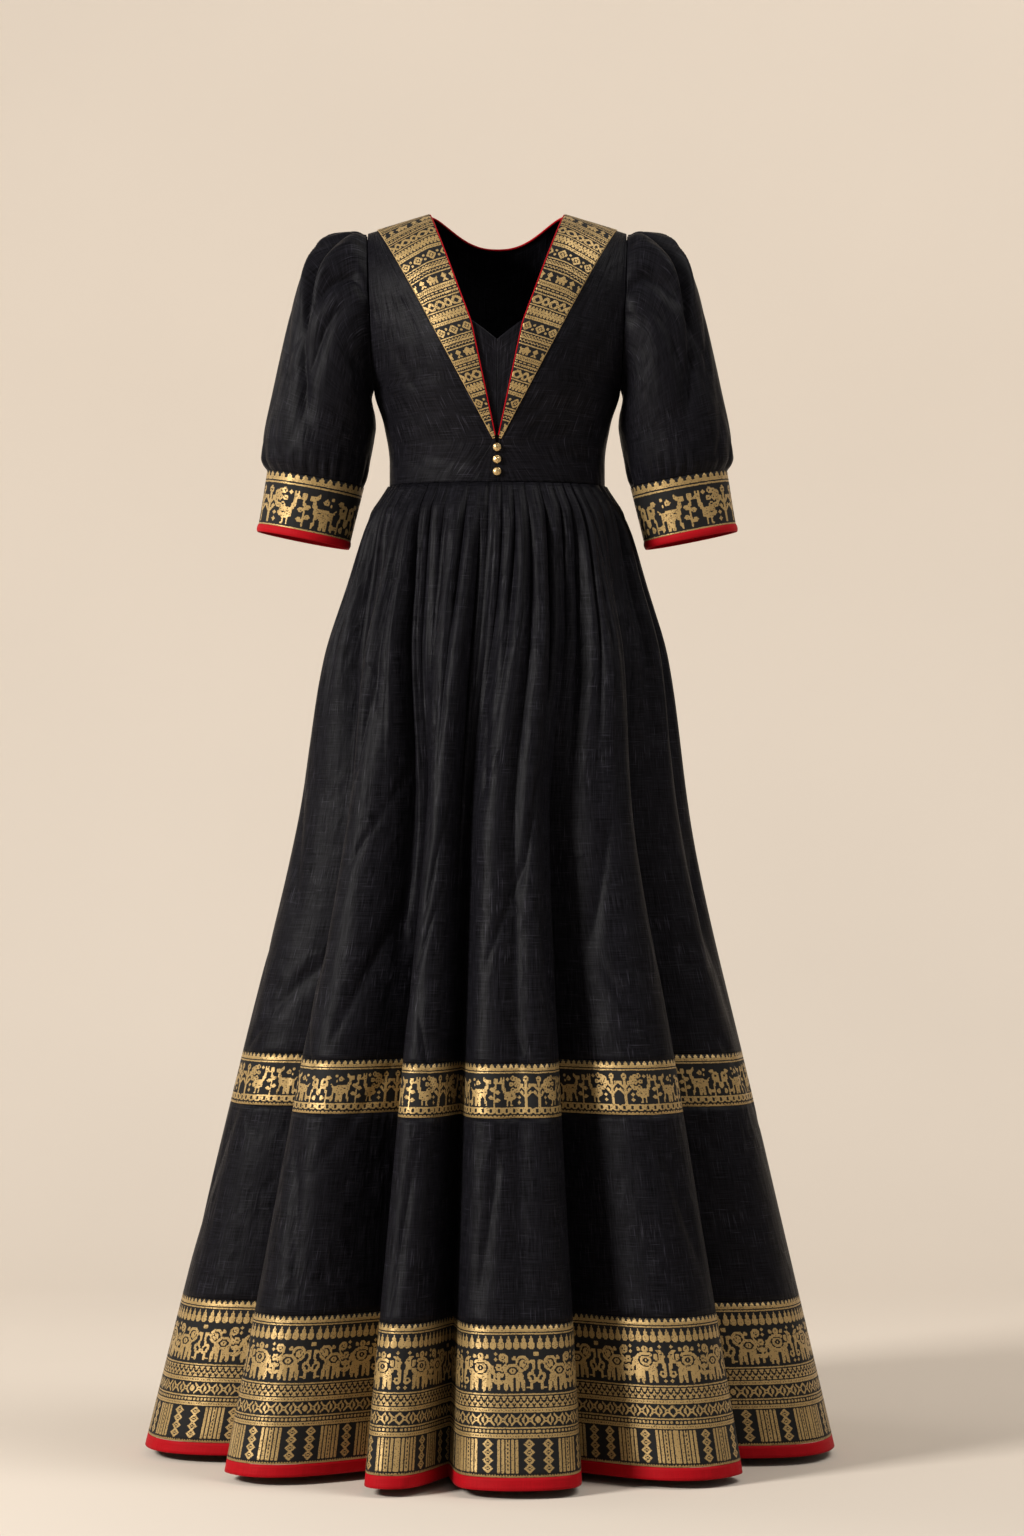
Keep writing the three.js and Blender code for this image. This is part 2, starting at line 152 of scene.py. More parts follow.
@dataclass(frozen=True)
class Crease:
    """A soft trough, or a ridge where deep is negative, laid on a piece.

    Args:
        x: Its middle across the piece.
        y: Its middle up the piece.
        turn: Its angle from upright, in degrees, leaning to +x at the top.
        long: Its length.
        wide: Its half width.
        deep: How far it sinks.
    """

    x: float
    y: float
    turn: float
    long: float
    wide: float
    deep: float


def creased(creases: Sequence[Crease], x: Array, y: Array) -> Array:
    """Sum the creases of a piece.

    Args:
        creases: The creases.
        x: Each point's place across the piece.
        y: Each point's place up the piece.

    Returns:
        How far each point stands out, negative in a trough.
    """
    out = np.zeros_like(x)
    for c in creases:
        lean = math.radians(c.turn)
        along = (x - c.x) * math.sin(lean) + (y - c.y) * math.cos(lean)
        across = (x - c.x) * math.cos(lean) - (y - c.y) * math.sin(lean)
        sharp = np.exp(-np.abs(across / c.wide) ** 1.4)
        out -= c.deep * sharp * np.exp(-((2.0 * along / c.long) ** 4))
    return out


# ---------------------------------------------------------------------- cloth pieces


def written(bm: bmesh.types.BMesh, mesh: bpy.types.Mesh) -> None:
    """Write a finished shape to its mesh, shaded smooth.

    Args:
        bm: The shape, which is freed.
        mesh: Its mesh.
    """
    for face in bm.faces:
        face.smooth = True
    bm.to_mesh(mesh)
    bm.free()


def placed(mesh: bpy.types.Mesh, finish: Material) -> bpy.types.Object:
    """Put a mesh in the scene, under its own name.

    Args:
        mesh: The mesh.
        finish: Its material.

    Returns:
        The object.
    """
    mesh.materials.append(finish)
    piece = bpy.data.objects.new(mesh.name, mesh)
    bpy.context.scene.collection.objects.link(piece)
    return piece


def stands_for(piece: bpy.types.Object, nodes: str, slot: str, **cloth: Any) -> bpy.types.Object:
    """Hide the solids that a piece stands for.

    Args:
        piece: The piece.
        nodes: The names of the solids.
        slot: Not used.
        **cloth: Not used.

    Returns:
        The same piece.
    """
    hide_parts(*nodes.split())
    return piece


@dataclass
class Cloth:
    """One piece of cloth, shaped from a flat grid of squares.

    Args:
        name: The piece's name.
        across: How many squares it has across.
        down: How many squares it has from top to bottom.
        surface: Gives the place of each point from its share across and down.
        relief: Gives how far each point then stands out of that surface.
        ring: Whether its two side edges are joined.
        heart: A point in the hollow that it goes round.
        width: The size across of its weave, if not its own.
        height: The size down of its weave, if not its own.
        weave: Gives the weave's own coordinates instead of the above.
        wall: Its thickness.
        apart: How far along the weave it starts.
    """

    name: str
    across: int
    down: int
    surface: Surface
    relief: Relief | None = None
    ring: bool = False
    heart: tuple[float, float, float] = (0.0, 0.0, -0.2)
    width: float | None = None
    height: float | None = None
    weave: Callable[[Array, Array], tuple[Array, Array]] | None = None
    wall: float = CLOTH
    apart: float = 0.0

    def build(self, finish: Material) -> bpy.types.Object:
        """Shape the piece and dress it.

        Args:
            finish: Its material.

        Returns:
            The finished object.
        """
        mesh = bpy.data.meshes.new(self.name)
        bm = bmesh.new()
        bmesh.ops.create_grid(bm, x_segments=self.across, y_segments=self.down, size=0.5)
        bm.to_mesh(mesh)
        bm.free()
        flat = np.empty(len(mesh.vertices) * 3)
        mesh.vertices.foreach_get("co", flat)
        flat = flat.reshape(-1, 3)
        s, t = flat[:, 0] + 0.5, 0.5 - flat[:, 1]
        i = np.rint(s * self.across).astype(int)
        j = np.rint(t * self.down).astype(int)
        place = self.surface(s, t)
        net = np.empty((self.down + 1, self.across + 1, 3))
        net[j, i] = place
        if self.relief is not None:
            out = np.empty(net.shape[:2])
            out[j, i] = self.relief(s, t)
            net = net + self._normals(net) * out[..., None]
        mesh.vertices.foreach_set("co", net[j, i].ravel())
        self._measure(mesh, net, i, j, s, t)
        self._finish_mesh(mesh)
        piece = placed(mesh, finish)
        shell = piece.modifiers.new("wall", "SOLIDIFY")
        shell.thickness, shell.offset = self.wall, 1.0
        return piece

    def _normals(self, net: Array) -> Array:
        """Find the outward direction at each point of the net.

        Args:
            net: The places of the points, row by row.

        Returns:
            One unit vector for each point.
        """
        if self.ring:
            wide = np.concatenate([net[:, -2:-1], net, net[:, 1:2]], axis=1)
            run = (wide[:, 2:] - wide[:, :-2]) / 2.0
        else:
            run = np.gradient(net, axis=1)
        fall = np.gradient(net, axis=0)
        normal = np.cross(fall, run)
        normal /= np.maximum(np.linalg.norm(normal, axis=2, keepdims=True), 1e-12)
        away = net - np.array(self.heart)
        if float(np.sum(normal * away)) < 0.0:
            normal = -normal
        return normal

    def _measure(self, mesh: bpy.types.Mesh, net: Array, i: Array, j: Array, s: Array,
                 t: Array) -> None:
        """Lay the weave on the piece, in metres of cloth.

        Args:
            mesh: The piece's mesh.
            net: The places of its points, row by row.
            i: Each point's place in its row.
            j: Each point's row.
            s: Each point's share across.
            t: Each point's share down.
        """
        run = np.linalg.norm(np.diff(net, axis=1), axis=2)
        fall = np.linalg.norm(np.diff(net, axis=0), axis=2)
        if self.weave is not None:
            u, v = self.weave(s, t)
        else:
            x = np.concatenate([[0.0], np.cumsum(run[self.down // 2])])
            y = np.concatenate([[0.0], np.cumsum(fall.mean(axis=1))])
            x *= 1.0 if self.width is None else self.width / x[-1]
            y *= 1.0 if self.height is None else self.height / y[-1]
            u, v = x[i] + self.apart, -y[j]
        corner = np.empty(len(mesh.loops), dtype=int)
        mesh.loops.foreach_get("vertex_index", corner)
        layer = mesh.uv_layers.new(name="weave")
        layer.data.foreach_set("uv", np.stack([u[corner], v[corner]], axis=1).ravel())

    def _finish_mesh(self, mesh: bpy.types.Mesh) -> None:
        """Join a ring's side edges, and turn the faces outwards.

        Args:
            mesh: The piece's mesh.
        """
        bm = bmesh.new()
        bm.from_mesh(mesh)
        if self.ring:
            bmesh.ops.remove_doubles(bm, verts=bm.verts, dist=1e-6)
        bm.normal_update()
        heart = Vector(self.heart)
        facing = sum(
            f.normal.dot(f.calc_center_median() - heart) * f.calc_area() for f in bm.faces
        )
        if facing < 0.0:
            bmesh.ops.reverse_faces(bm, faces=bm.faces)
        written(bm, mesh)


def cord_mesh(name: str, points: Sequence[Vector], radius: float,
              finish: Material) -> bpy.types.Object:
    """Make a round cord along a smooth path, capped at both ends.

    Args:
        name: The piece's name.
        points: The path.
        radius: The cord's radius.
        finish: Its material.

    Returns:
        The cord, as a mesh.
    """
    curve = bpy.data.curves.new(name, "CURVE")
    curve.dimensions = "3D"
    curve.bevel_depth, curve.bevel_resolution, curve.use_fill_caps = radius, 3, True
    curve.resolution_u = 6
    spline = curve.splines.new("NURBS")
    spline.points.add(len(points) - 1)
    for node, point in zip(spline.points, points):
        node.co = (*point, 1.0)
    spline.use_endpoint_u, spline.order_u = True, 3
    path = bpy.data.objects.new(name + "_path", curve)
    bpy.context.scene.collection.objects.link(path)
    mesh = bpy.data.meshes.new_from_object(path.evaluated_get(bpy.context.evaluated_depsgraph_get()))
    bpy.data.objects.remove(path)
    bpy.data.curves.remove(curve)
    mesh.name = name
    bm = bmesh.new()
    bm.from_mesh(mesh)
    bmesh.ops.remove_doubles(bm, verts=bm.verts, dist=1e-6)
    bmesh.ops.recalc_face_normals(bm, faces=bm.faces)
    written(bm, mesh)
    mesh.materials.clear()
    return placed(mesh, finish)


# ------------------------------------------------------------------------- finishes


class Board:
    """Nodes laid on one tree, a call to a node."""

    def __init__(self, tree: Tree) -> None:
        """Work on a tree."""
        self.tree = tree

    def node(self, kind: str, **settings: Any) -> bpy.types.Node:
        """Add a node.

        Args:
            kind: Its type.
            **settings: Its options, by name.

        Returns:
            The node.
        """
        made = self.tree.nodes.new(kind)
        for key, value in settings.items():
            setattr(made, key, value)
        return made

    def feed(self, socket: Socket, value: Value) -> None:
        """Link a socket, or set its own value.

        Args:
            socket: The input to feed.
            value: The output that feeds it, or a constant.
        """
        if isinstance(value, bpy.types.NodeSocket):
            self.tree.links.new(value, socket)
        else:
            socket.default_value = value

    def _fed(self, made: bpy.types.Node, values: Sequence[Value], first: int = 0) -> bpy.types.Node:
        """Feed a node's inputs in order.

        Args:
            made: The node.
            values: What feeds them.
            first: The input that the first value goes to.

        Returns:
            The same node.
        """
        for socket, value in zip(list(made.inputs)[first:], values):
            self.feed(socket, value)
        return made

    def math(self, operation: str, *values: Value) -> Socket:
        """One sum of up to three values."""
        return self._fed(self.node("ShaderNodeMath", operation=operation), values).outputs[0]

    def split(self, vector: Value) -> tuple[Socket, ...]:
        """The three parts of a vector."""
        return tuple(self._fed(self.node("ShaderNodeSeparateXYZ"), (vector,)).outputs)

    def stretch(self, vector: Value, x: float, y: float, z: float = 1.0) -> Socket:
        """A vector with each part multiplied."""
        made = self.node("ShaderNodeVectorMath", operation="MULTIPLY")
        return self._fed(made, (vector, (x, y, z))).outputs[0]

    def noise(self, vector: Value, scale: float, detail: float = 2.0) -> Socket:
        """Soft noise from 0 to 1.

        Args:
            vector: Where it is read.
            scale: How fine it is.
            detail: How many finer octaves it has.

        Returns:
            The noise.
        """
        made = self.node("ShaderNodeTexNoise", noise_dimensions="3D")
        for key, value in (("Vector", vector), ("Scale", scale), ("Detail", detail)):
            self.feed(made.inputs[key], value)
        return made.outputs["Fac"]

    def span(self, value: Value, low: float, high: float, out_low: Value = 0.0,
             out_high: Value = 1.0) -> Socket:
        """A value mapped from one range to another, held at its ends."""
        made = self.node("ShaderNodeMapRange", clamp=True)
        return self._fed(made, (value, low, high, out_low, out_high)).outputs[0]

    def mix(self, factor: Value, first: Value, second: Value) -> Socket:
        """Two colours mixed."""
        made = self.node("ShaderNodeMix", data_type="RGBA")
        self.feed(made.inputs["Factor"], factor)
        return self._fed(made, (first, second), 6).outputs[2]

    def blend(self, factor: Value, first: Value, second: Value) -> Socket:
        """Two values mixed."""
        made = self.node("ShaderNodeMix", data_type="FLOAT")
        self.feed(made.inputs["Factor"], factor)
        return self._fed(made, (first, second), 2).outputs[0]

    def group(self, tree: Tree, **values: Value) -> bpy.types.Node:
        """Place a shared group.

        Args:
            tree: The group.
            **values: What feeds its inputs, by name.

        Returns:
            Its node.
        """
        made = self.node("ShaderNodeGroup", node_tree=tree)
        for key, value in values.items():
            self.feed(made.inputs[key], value)
        return made

    def bump(self, height: Value, strength: float = 1.0, distance: float = 1.0) -> Socket:
        """Tilt the surface by a height in metres.

        Args:
            height: The height.
            strength: How much of it is used.
            distance: How far it is drawn out.

        Returns:
            The tilted normal.
        """
        made = self.node("ShaderNodeBump")
        for key, value in (("Strength", strength), ("Distance", distance), ("Height", height)):
            self.feed(made.inputs[key], value)
        return made.outputs[0]


def shared(name: str, takes: dict[str, str], gives: dict[str, str]
           ) -> tuple[Tree, Board, bpy.types.Node, bpy.types.Node]:
    """Begin a shader group.

    Args:
        name: The group's name.
        takes: Its inputs and their socket kinds.
        gives: Its outputs and their socket kinds.

    Returns:
        The tree, its board, its input node and its output node.
    """
    tree = bpy.data.node_groups.new(name, "ShaderNodeTree")
    for key, kind in takes.items():
        tree.interface.new_socket(key, in_out="INPUT", socket_type="NodeSocket" + kind)
    for key, kind in gives.items():
        tree.interface.new_socket(key, in_out="OUTPUT", socket_type="NodeSocket" + kind)
    board = Board(tree)
    return tree, board, board.node("NodeGroupInput"), board.node("NodeGroupOutput")


def begun(name: str) -> tuple[Material, Board, bpy.types.Node]:
    """Begin a material.

    Args:
        name: Its name.

    Returns:
        The material, its board and its shader node.
    """
    material = bpy.data.materials.new(name)
    material.use_nodes = True
    return material, Board(material.node_tree), material.node_tree.nodes["Principled BSDF"]


def handloom_group() -> Tree:
    """Make the weave that every cloth shares.

    Its inputs are the weave's coordinates in metres and how strong its slubs are. It gives
    the brightness of the threads and the height of the cloth in metres.

    Returns:
        The group.
    """
    thread_fine, thread_long = 1500.0, (30.0, 34.0)
    slub_fine, slub_long = (780.0, 820.0), (34.0, 38.0)
    soft_folds = ((46.0, 9.0, 0.0009), (19.0, 12.0, 0.0018))
    tree, b, given, made = shared(
        "handloom weave",
        {"Weave": "Vector", "Slub": "Float"},
        {"Thread": "Float", "Height": "Float"},
    )
    weave = given.outputs["Weave"]
    warp = b.noise(b.stretch(weave, thread_fine, thread_long[0]), 1.0, 1.0)
    weft = b.noise(b.stretch(weave, thread_long[1], thread_fine), 1.0, 1.0)
    warp_slub = b.span(b.noise(b.stretch(weave, slub_fine[0], slub_long[0], 1.0), 1.0, 1.0), 0.62, 0.78)
    weft_slub = b.span(b.noise(b.stretch(weave, slub_long[1], slub_fine[1], 2.0), 1.0, 1.0), 0.64, 0.80)
    patch = b.span(b.noise(weave, 14.0, 2.0), 0.35, 0.70)
    slubs = b.math("MULTIPLY", b.math("ADD", warp_slub, weft_slub), given.outputs["Slub"])
    slubs = b.math("MULTIPLY", slubs, b.math("MULTIPLY_ADD", patch, 0.8, 0.2))
    grain = b.span(b.math("ADD", warp, weft), 0.72, 1.28, 0.25, 0.78)
    thread = b.math("ADD", grain, slubs)
    crinkle = b.noise(b.stretch(weave, 150.0, 22.0), 1.0, 3.0)
    dent = b.noise(b.stretch(weave, 46.0, 30.0), 1.0, 2.0)
    height = b.math("MULTIPLY_ADD", crinkle, 0.00060, b.math("MULTIPLY", dent, 0.0006))
    for across, along, deep in soft_folds:
        fold = b.noise(b.stretch(weave, across, along, deep), 1.0, 2.0)
        crest = b.math("ABSOLUTE", b.math("MULTIPLY_ADD", fold, 2.0, -1.0))
        sharp = b.math("MULTIPLY", b.span(crest, 0.0, 0.36), -deep)
        height = b.math("MULTIPLY_ADD", sharp, patch, height)
    fine = b.math("MULTIPLY", b.math("ADD", warp, weft), 0.00007)
    height = b.math("ADD", height, b.math("MULTIPLY_ADD", slubs, 0.00006, fine))
    b.feed(made.inputs["Thread"], thread)
    b.feed(made.inputs["Height"], height)
    return tree


@dataclass(frozen=True)
class Chart:
    """A woven figure on squared paper, drawn for this gown: # is gold and . is ground.

    Args:
        name: What it is a chart of.
        rows: Its rows from the top, each as wide as COLUMNS.
        repeats: Whether it starts again below its last row.
    """

    name: str
    rows: tuple[str, ...]
    repeats: bool = False

    COLUMNS = 60
    PART = 20
    BLOCK = 32

    def _shade(self, row: str) -> tuple[float, ...]:
        """Hold a row's sixty squares as three fractions of twenty binary places.

        Args:
            row: The row.

        Returns:
            The fractions, as a colour.
        """
        parts = [row[k : k + self.PART] for k in range(0, self.COLUMNS, self.PART)]
        whole = [int("".join("1" if c == "#" else "0" for c in p), 2) for p in parts]
        return (*((w + 0.5) / 2**self.PART for w in whole), 1.0)

    def cell_group(self) -> Tree:
        """Make the group that says whether one square of the chart is gold.

        Returns:
            The group, which takes a column and a row.
        """
        tree, b, given, made = shared(
            self.name + " square", {"Column": "Float", "Row": "Float"}, {"Gold": "Float"}
        )
        count = len(self.rows)
        blocks = math.ceil(count / self.BLOCK)
        row = b.math("MINIMUM", b.math("MAXIMUM", given.outputs["Row"], 0.0), count - 1.0)
        if self.repeats:
            row = b.math("FLOORED_MODULO", given.outputs["Row"], float(count))
        colour = None
        for k in range(blocks):
            part = self.rows[k * self.BLOCK : (k + 1) * self.BLOCK]
            ramp = b.node("ShaderNodeValToRGB")
            ramp.color_ramp.interpolation = "CONSTANT"
            stops = ramp.color_ramp.elements
            while len(stops) > 1:
                stops.remove(stops[-1])
            stops[0].position, stops[0].color = 0.0, self._shade(part[0])
            for n, line in enumerate(part[1:], 1):
                stops.new(n / self.BLOCK).color = self._shade(line)
            place = b.math("SUBTRACT", row, k * self.BLOCK - 0.5)
            b.feed(ramp.inputs[0], b.math("DIVIDE", place, float(self.BLOCK)))
            later = b.math("GREATER_THAN", row, k * self.BLOCK - 0.5)
            colour = ramp.outputs[0] if colour is None else b.mix(later, colour, ramp.outputs[0])
        parts = b.node("ShaderNodeSeparateColor")
        b.feed(parts.inputs[0], colour)
        column = b.math("FLOORED_MODULO", given.outputs["Column"], float(self.COLUMNS))
        second = b.math("GREATER_THAN", column, self.PART - 0.5)
        third = b.math("GREATER_THAN", column, 2 * self.PART - 0.5)
        held = b.blend(second, parts.outputs[0], parts.outputs[1])
        held = b.blend(third, held, parts.outputs[2])
        steps = b.math("ADD", second, third)
        power = b.math("POWER", 2.0, b.math("MULTIPLY_ADD", steps, -float(self.PART), column))
        left = b.math("FRACT", b.math("MULTIPLY", held, power))
        b.feed(made.inputs["Gold"], b.math("GREATER_THAN", left, 0.5))
        return tree

    def group(self) -> Tree:
        """Make the group that draws the chart with its corners rounded off.

        Returns:
            The group, which takes a place in squares, across and down, and gives 1 on gold.
        """
        square = self.cell_group()
        tree, b, given, made = shared(
            self.name, {"Across": "Float", "Down": "Float"}, {"Gold": "Float"}
        )
        turn = b.math("PINGPONG", given.outputs["Across"], float(self.COLUMNS))
        x, y = b.math("SUBTRACT", turn, 0.5), b.math("SUBTRACT", given.outputs["Down"], 0.5)
        column, row = b.math("FLOOR", x), b.math("FLOOR", y)
        right, below = b.math("ADD", column, 1.0), b.math("ADD", row, 1.0)
        fx, fy = b.math("SUBTRACT", x, column), b.math("SUBTRACT", y, row)
        column = b.math("MAXIMUM", column, 0.0)
        right = b.math("MINIMUM", right, self.COLUMNS - 1.0)
        corners = [
            b.group(square, Column=c, Row=r).outputs[0]
            for r in (row, below)
            for c in (column, right)
        ]
        over = b.blend(fx, corners[0], corners[1])
        under = b.blend(fx, corners[2], corners[3])
        b.feed(made.inputs["Gold"], b.span(b.blend(fy, over, under), 0.38, 0.53))
        return tree


@dataclass(frozen=True)
class Fabric:
    """A plain woven cloth.

    Args:
        name: The material's name.
        dark: Its colour in the hollows of the weave.
        light: Its colour on the threads.
        slub: How strong its slubs are.
        roughness: Its roughness.
        sheen: The weight of its sheen.
        gloss: Its specular level.
        relief: How much of the weave's height it shows.
    """

    name: str
    dark: Colour
    light: Colour
    slub: float
    roughness: float
    sheen: float
    gloss: float
    relief: float = 1.0

    def make(self, weave: Tree) -> Material:
        """Make the material.

        Args:
            weave: The shared weave.

        Returns:
            The material.
        """
        material, b, shader = begun(self.name)
        plan = b.node("ShaderNodeUVMap", uv_map="weave").outputs[0]
        cloth = b.group(weave, Weave=plan, Slub=self.slub)
        thread = cloth.outputs["Thread"]
        b.feed(shader.inputs["Base Color"], b.mix(b.span(thread, 0.25, 1.5), self.dark, self.light))
        b.feed(shader.inputs["Roughness"],
               b.span(thread, 0.2, 1.2, self.roughness + 0.06, self.roughness - 0.08))
        b.feed(shader.inputs["Normal"], b.bump(cloth.outputs["Height"], 1.0, self.relief))
        shader.inputs["Sheen Weight"].default_value = self.sheen
        shader.inputs["Specular IOR Level"].default_value = self.gloss
        shader.inputs["Sheen Roughness"].default_value = 0.45
        return material


@dataclass(frozen=True)
class Brocade:
    """A black cloth with figures in gold thread, from one chart.

    Args:
        name: The material's name.
        chart: The figures.
        cell: The size of one square of the chart.
        shift: How many squares the repeat is moved across.
        rim: Where across the cloth a plain gold edge starts.
    """

    name: str
    chart: Chart
    cell: float
    shift: float = 0.0
    rim: float = 1000.0

    GOLD = (0.480, 0.330, 0.138, 1.0)
    SHADE = (0.235, 0.148, 0.052, 1.0)
    GROUND = (0.0045, 0.0042, 0.0044, 1.0)
    STRAY = 0.7
    STITCHES = 430.0
    RIBS = 2800.0
    RAISED = (0.00022, 0.00008)
    SHINE = 0.42

    def _figures(self, b: Board, plan: Socket) -> Socket:
        """Draw the chart with threads that stray a little from its squares.

        Args:
            b: The material's board.
            plan: The weave's coordinates.

        Returns:
            1 on gold and 0 on the ground.
        """
        wander = b.node("ShaderNodeTexNoise", noise_dimensions="3D")
        for key, value in (("Vector", plan), ("Scale", 420.0), ("Detail", 1.0)):
            b.feed(wander.inputs[key], value)
        u, v, _ = b.split(plan)
        du, dv, _ = b.split(wander.outputs["Color"])
        across = b.math("MULTIPLY_ADD", u, 1.0 / self.cell,
                        b.math("MULTIPLY_ADD", du, self.STRAY, self.shift - self.STRAY / 2))
        down = b.math("MULTIPLY_ADD", v, -1.0 / self.cell,
                      b.math("MULTIPLY_ADD", dv, self.STRAY, -self.STRAY / 2))
        gold = b.group(self.chart.group(), Across=across, Down=down).outputs["Gold"]
        return b.math("MAXIMUM", gold, b.math("GREATER_THAN", u, self.rim))

    def make(self, weave: Tree) -> Material:
        """Make the material.

        Args:
            weave: The shared weave.

        Returns:
            The material.
        """
        material, b, shader = begun(self.name)
        plan = b.node("ShaderNodeUVMap", uv_map="weave").outputs[0]
        cloth = b.group(weave, Weave=plan, Slub=0.3)
        gold = self._figures(b, plan)
        stipple = b.node("ShaderNodeTexVoronoi", feature="F1", distance="EUCLIDEAN")
        b.feed(stipple.inputs["Vector"], b.stretch(plan, 1.0, 1.25))
        stipple.inputs["Scale"].default_value = self.STITCHES
        speck = b.span(stipple.outputs["Distance"], 0.20, 0.36)
        rib = b.math("ABSOLUTE", b.math("SINE", b.math("MULTIPLY", b.split(plan)[1], self.RIBS)))
        patch = b.span(b.noise(plan, 26.0, 2.0), 0.3, 0.7)
        light = b.math("MULTIPLY", b.math("MULTIPLY_ADD", rib, 0.35, 0.65),
                       b.math("MULTIPLY_ADD", patch, 0.35, 0.65))
        thread = b.math("MULTIPLY", gold, b.math("MULTIPLY_ADD", speck, 0.72, 0.28))
        metal = b.mix(light, self.SHADE, self.GOLD)
        b.feed(shader.inputs["Base Color"], b.mix(thread, self.GROUND, metal))
        b.feed(shader.inputs["Metallic"], b.math("MULTIPLY", thread, self.SHINE))
        b.feed(shader.inputs["Roughness"], b.span(thread, 0.0, 1.0, 0.72, 0.43))
        shader.inputs["Specular IOR Level"].default_value = 0.25
        high, ribbed = self.RAISED
        raised = b.math("MULTIPLY", thread, b.math("MULTIPLY_ADD", rib, ribbed, high))
        height = b.math("MULTIPLY_ADD", cloth.outputs["Height"], 0.6, raised)
        b.feed(shader.inputs["Normal"], b.bump(height, 0.9))
        return material


@dataclass(frozen=True)
class Metal:
    """A cast and polished metal.

    Args:
        name: The material's name.
        colour: Its colour.
    """

    name: str
    colour: Colour

    def make(self) -> Material:
        """Make the material.

        Returns:
            The material.
        """
        material, b, shader = begun(self.name)
        place = b.node("ShaderNodeTexCoord").outputs["Object"]
        wear = b.noise(place, 900.0, 3.0)
        hammer = b.noise(place, 420.0, 1.0)
        dark = tuple(0.45 * c for c in self.colour[:3]) + (1.0,)
        b.feed(shader.inputs["Base Color"], b.mix(b.span(wear, 0.3, 0.6), dark, self.colour))
        shader.inputs["Metallic"].default_value = 1.0
        b.feed(shader.inputs["Roughness"], b.span(wear, 0.3, 0.7, 0.42, 0.24))
        b.feed(shader.inputs["Normal"], b.bump(b.math("MULTIPLY", hammer, 0.0007)))
        return material


def tiled(*units: str) -> tuple[str, ...]:
    """Repeat each short row to the width of a chart."""
    return tuple((unit * Chart.COLUMNS)[: Chart.COLUMNS] for unit in units)


def seeded(rows: Sequence[str]) -> tuple[str, ...]:
    """Sow small diamonds over the bare ground between figures.

    Args:
        rows: The rows of a chart.

    Returns:
        The same rows, sown.
    """
    sown = [list(row) for row in rows]
    around = range(-2, 3)
    for r in range(2, len(rows) - 2, 2):
        for c in range(2 + r % 4, Chart.COLUMNS - 2, 4):
            near = [sown[r + j][c + i] for j in around for i in around]
            if "#" not in near:
                for j, i in ((-1, 0), (0, -1), (0, 0), (0, 1), (1, 0)):
                    sown[r + j][c + i] = "#"
    return tuple("".join(row) for row in sown)


TEETH = tiled("..#..", ".###.", ".###.", "#####", "#####", ".....", "#####", ".....")

LEAVES = tiled(
    "..#...",
    "..#...",
    ".###..",
    ".###..",
    ".###..",
    "#####.",
    "#####.",
    "#####.",
    "#####.",
    ".###..",
    "......",
)

@dataclass(frozen=True)
class Mark:
    """One round mark drawn on squared paper.

    Args:
        x: Its middle, in squares from the left.
        y: Its middle, in squares from the top.
        wide: Half its width.
        high: Half its height.
        turn: Its turn in degrees.
        hollow: The share of it, from its middle, that is left bare.
        gold: Whether it is gold thread, not ground.
    """

    x: float
    y: float
    wide: float
    high: float
    turn: float = 0.0
    hollow: float = 0.0
    gold: bool = True


def drawn(marks: Sequence[Mark], high: int) -> tuple[str, ...]:
    """Draw marks one over another on squared paper.

    Args:
        marks: The marks.
        high: How many rows the paper has.

    Returns:
        Its rows.
    """
    down, across = np.mgrid[0:high, 0 : Chart.COLUMNS] + 0.5
    paper = np.zeros(down.shape, dtype=bool)
    for m in marks:
        lean = math.radians(m.turn)
        x, y = across - m.x, down - m.y
        far = np.hypot((x * math.cos(lean) + y * math.sin(lean)) / m.wide,
                       (y * math.cos(lean) - x * math.sin(lean)) / m.high)
        paper[(far <= 1.0) & (far >= m.hollow)] = m.gold
    return tuple("".join("#" if gold else "." for gold in row) for row in paper)


ELEPHANT = (
    Mark(16.5, 14.0, 9.6, 7.2),
    Mark(9.6, 24.0, 1.9, 6.6, 4), Mark(13.6, 24.0, 1.8, 6.4, -4),
    Mark(20.0, 24.0, 1.9, 6.6, 5), Mark(24.0, 24.0, 1.8, 6.4, -3),
    Mark(27.0, 16.0, 0.9, 5.6, -12), Mark(27.6, 22.0, 1.5, 1.5),
    Mark(6.0, 10.0, 4.6, 5.2), Mark(2.6, 16.5, 1.5, 6.0, 12), Mark(3.8, 23.2, 2.8, 2.6, 0, 0.45),
    Mark(16.5, 13.2, 6.2, 4.6, 0, 0.80, False), Mark(16.5, 13.2, 2.4, 1.9, 0, 0.0, False),
    Mark(16.5, 13.2, 1.0, 1.0), Mark(8.4, 10.2, 2.8, 4.0, 0, 0.66, False),
    Mark(4.2, 8.6, 0.8, 0.8, 0, 0.0, False),
    Mark(16.5, 4.4, 2.9, 2.6), Mark(16.5, 4.4, 1.0, 1.0, 0, 0.0, False),
    Mark(11.4, 4.6, 1.5, 1.5), Mark(21.6, 4.6, 1.5, 1.5),
)

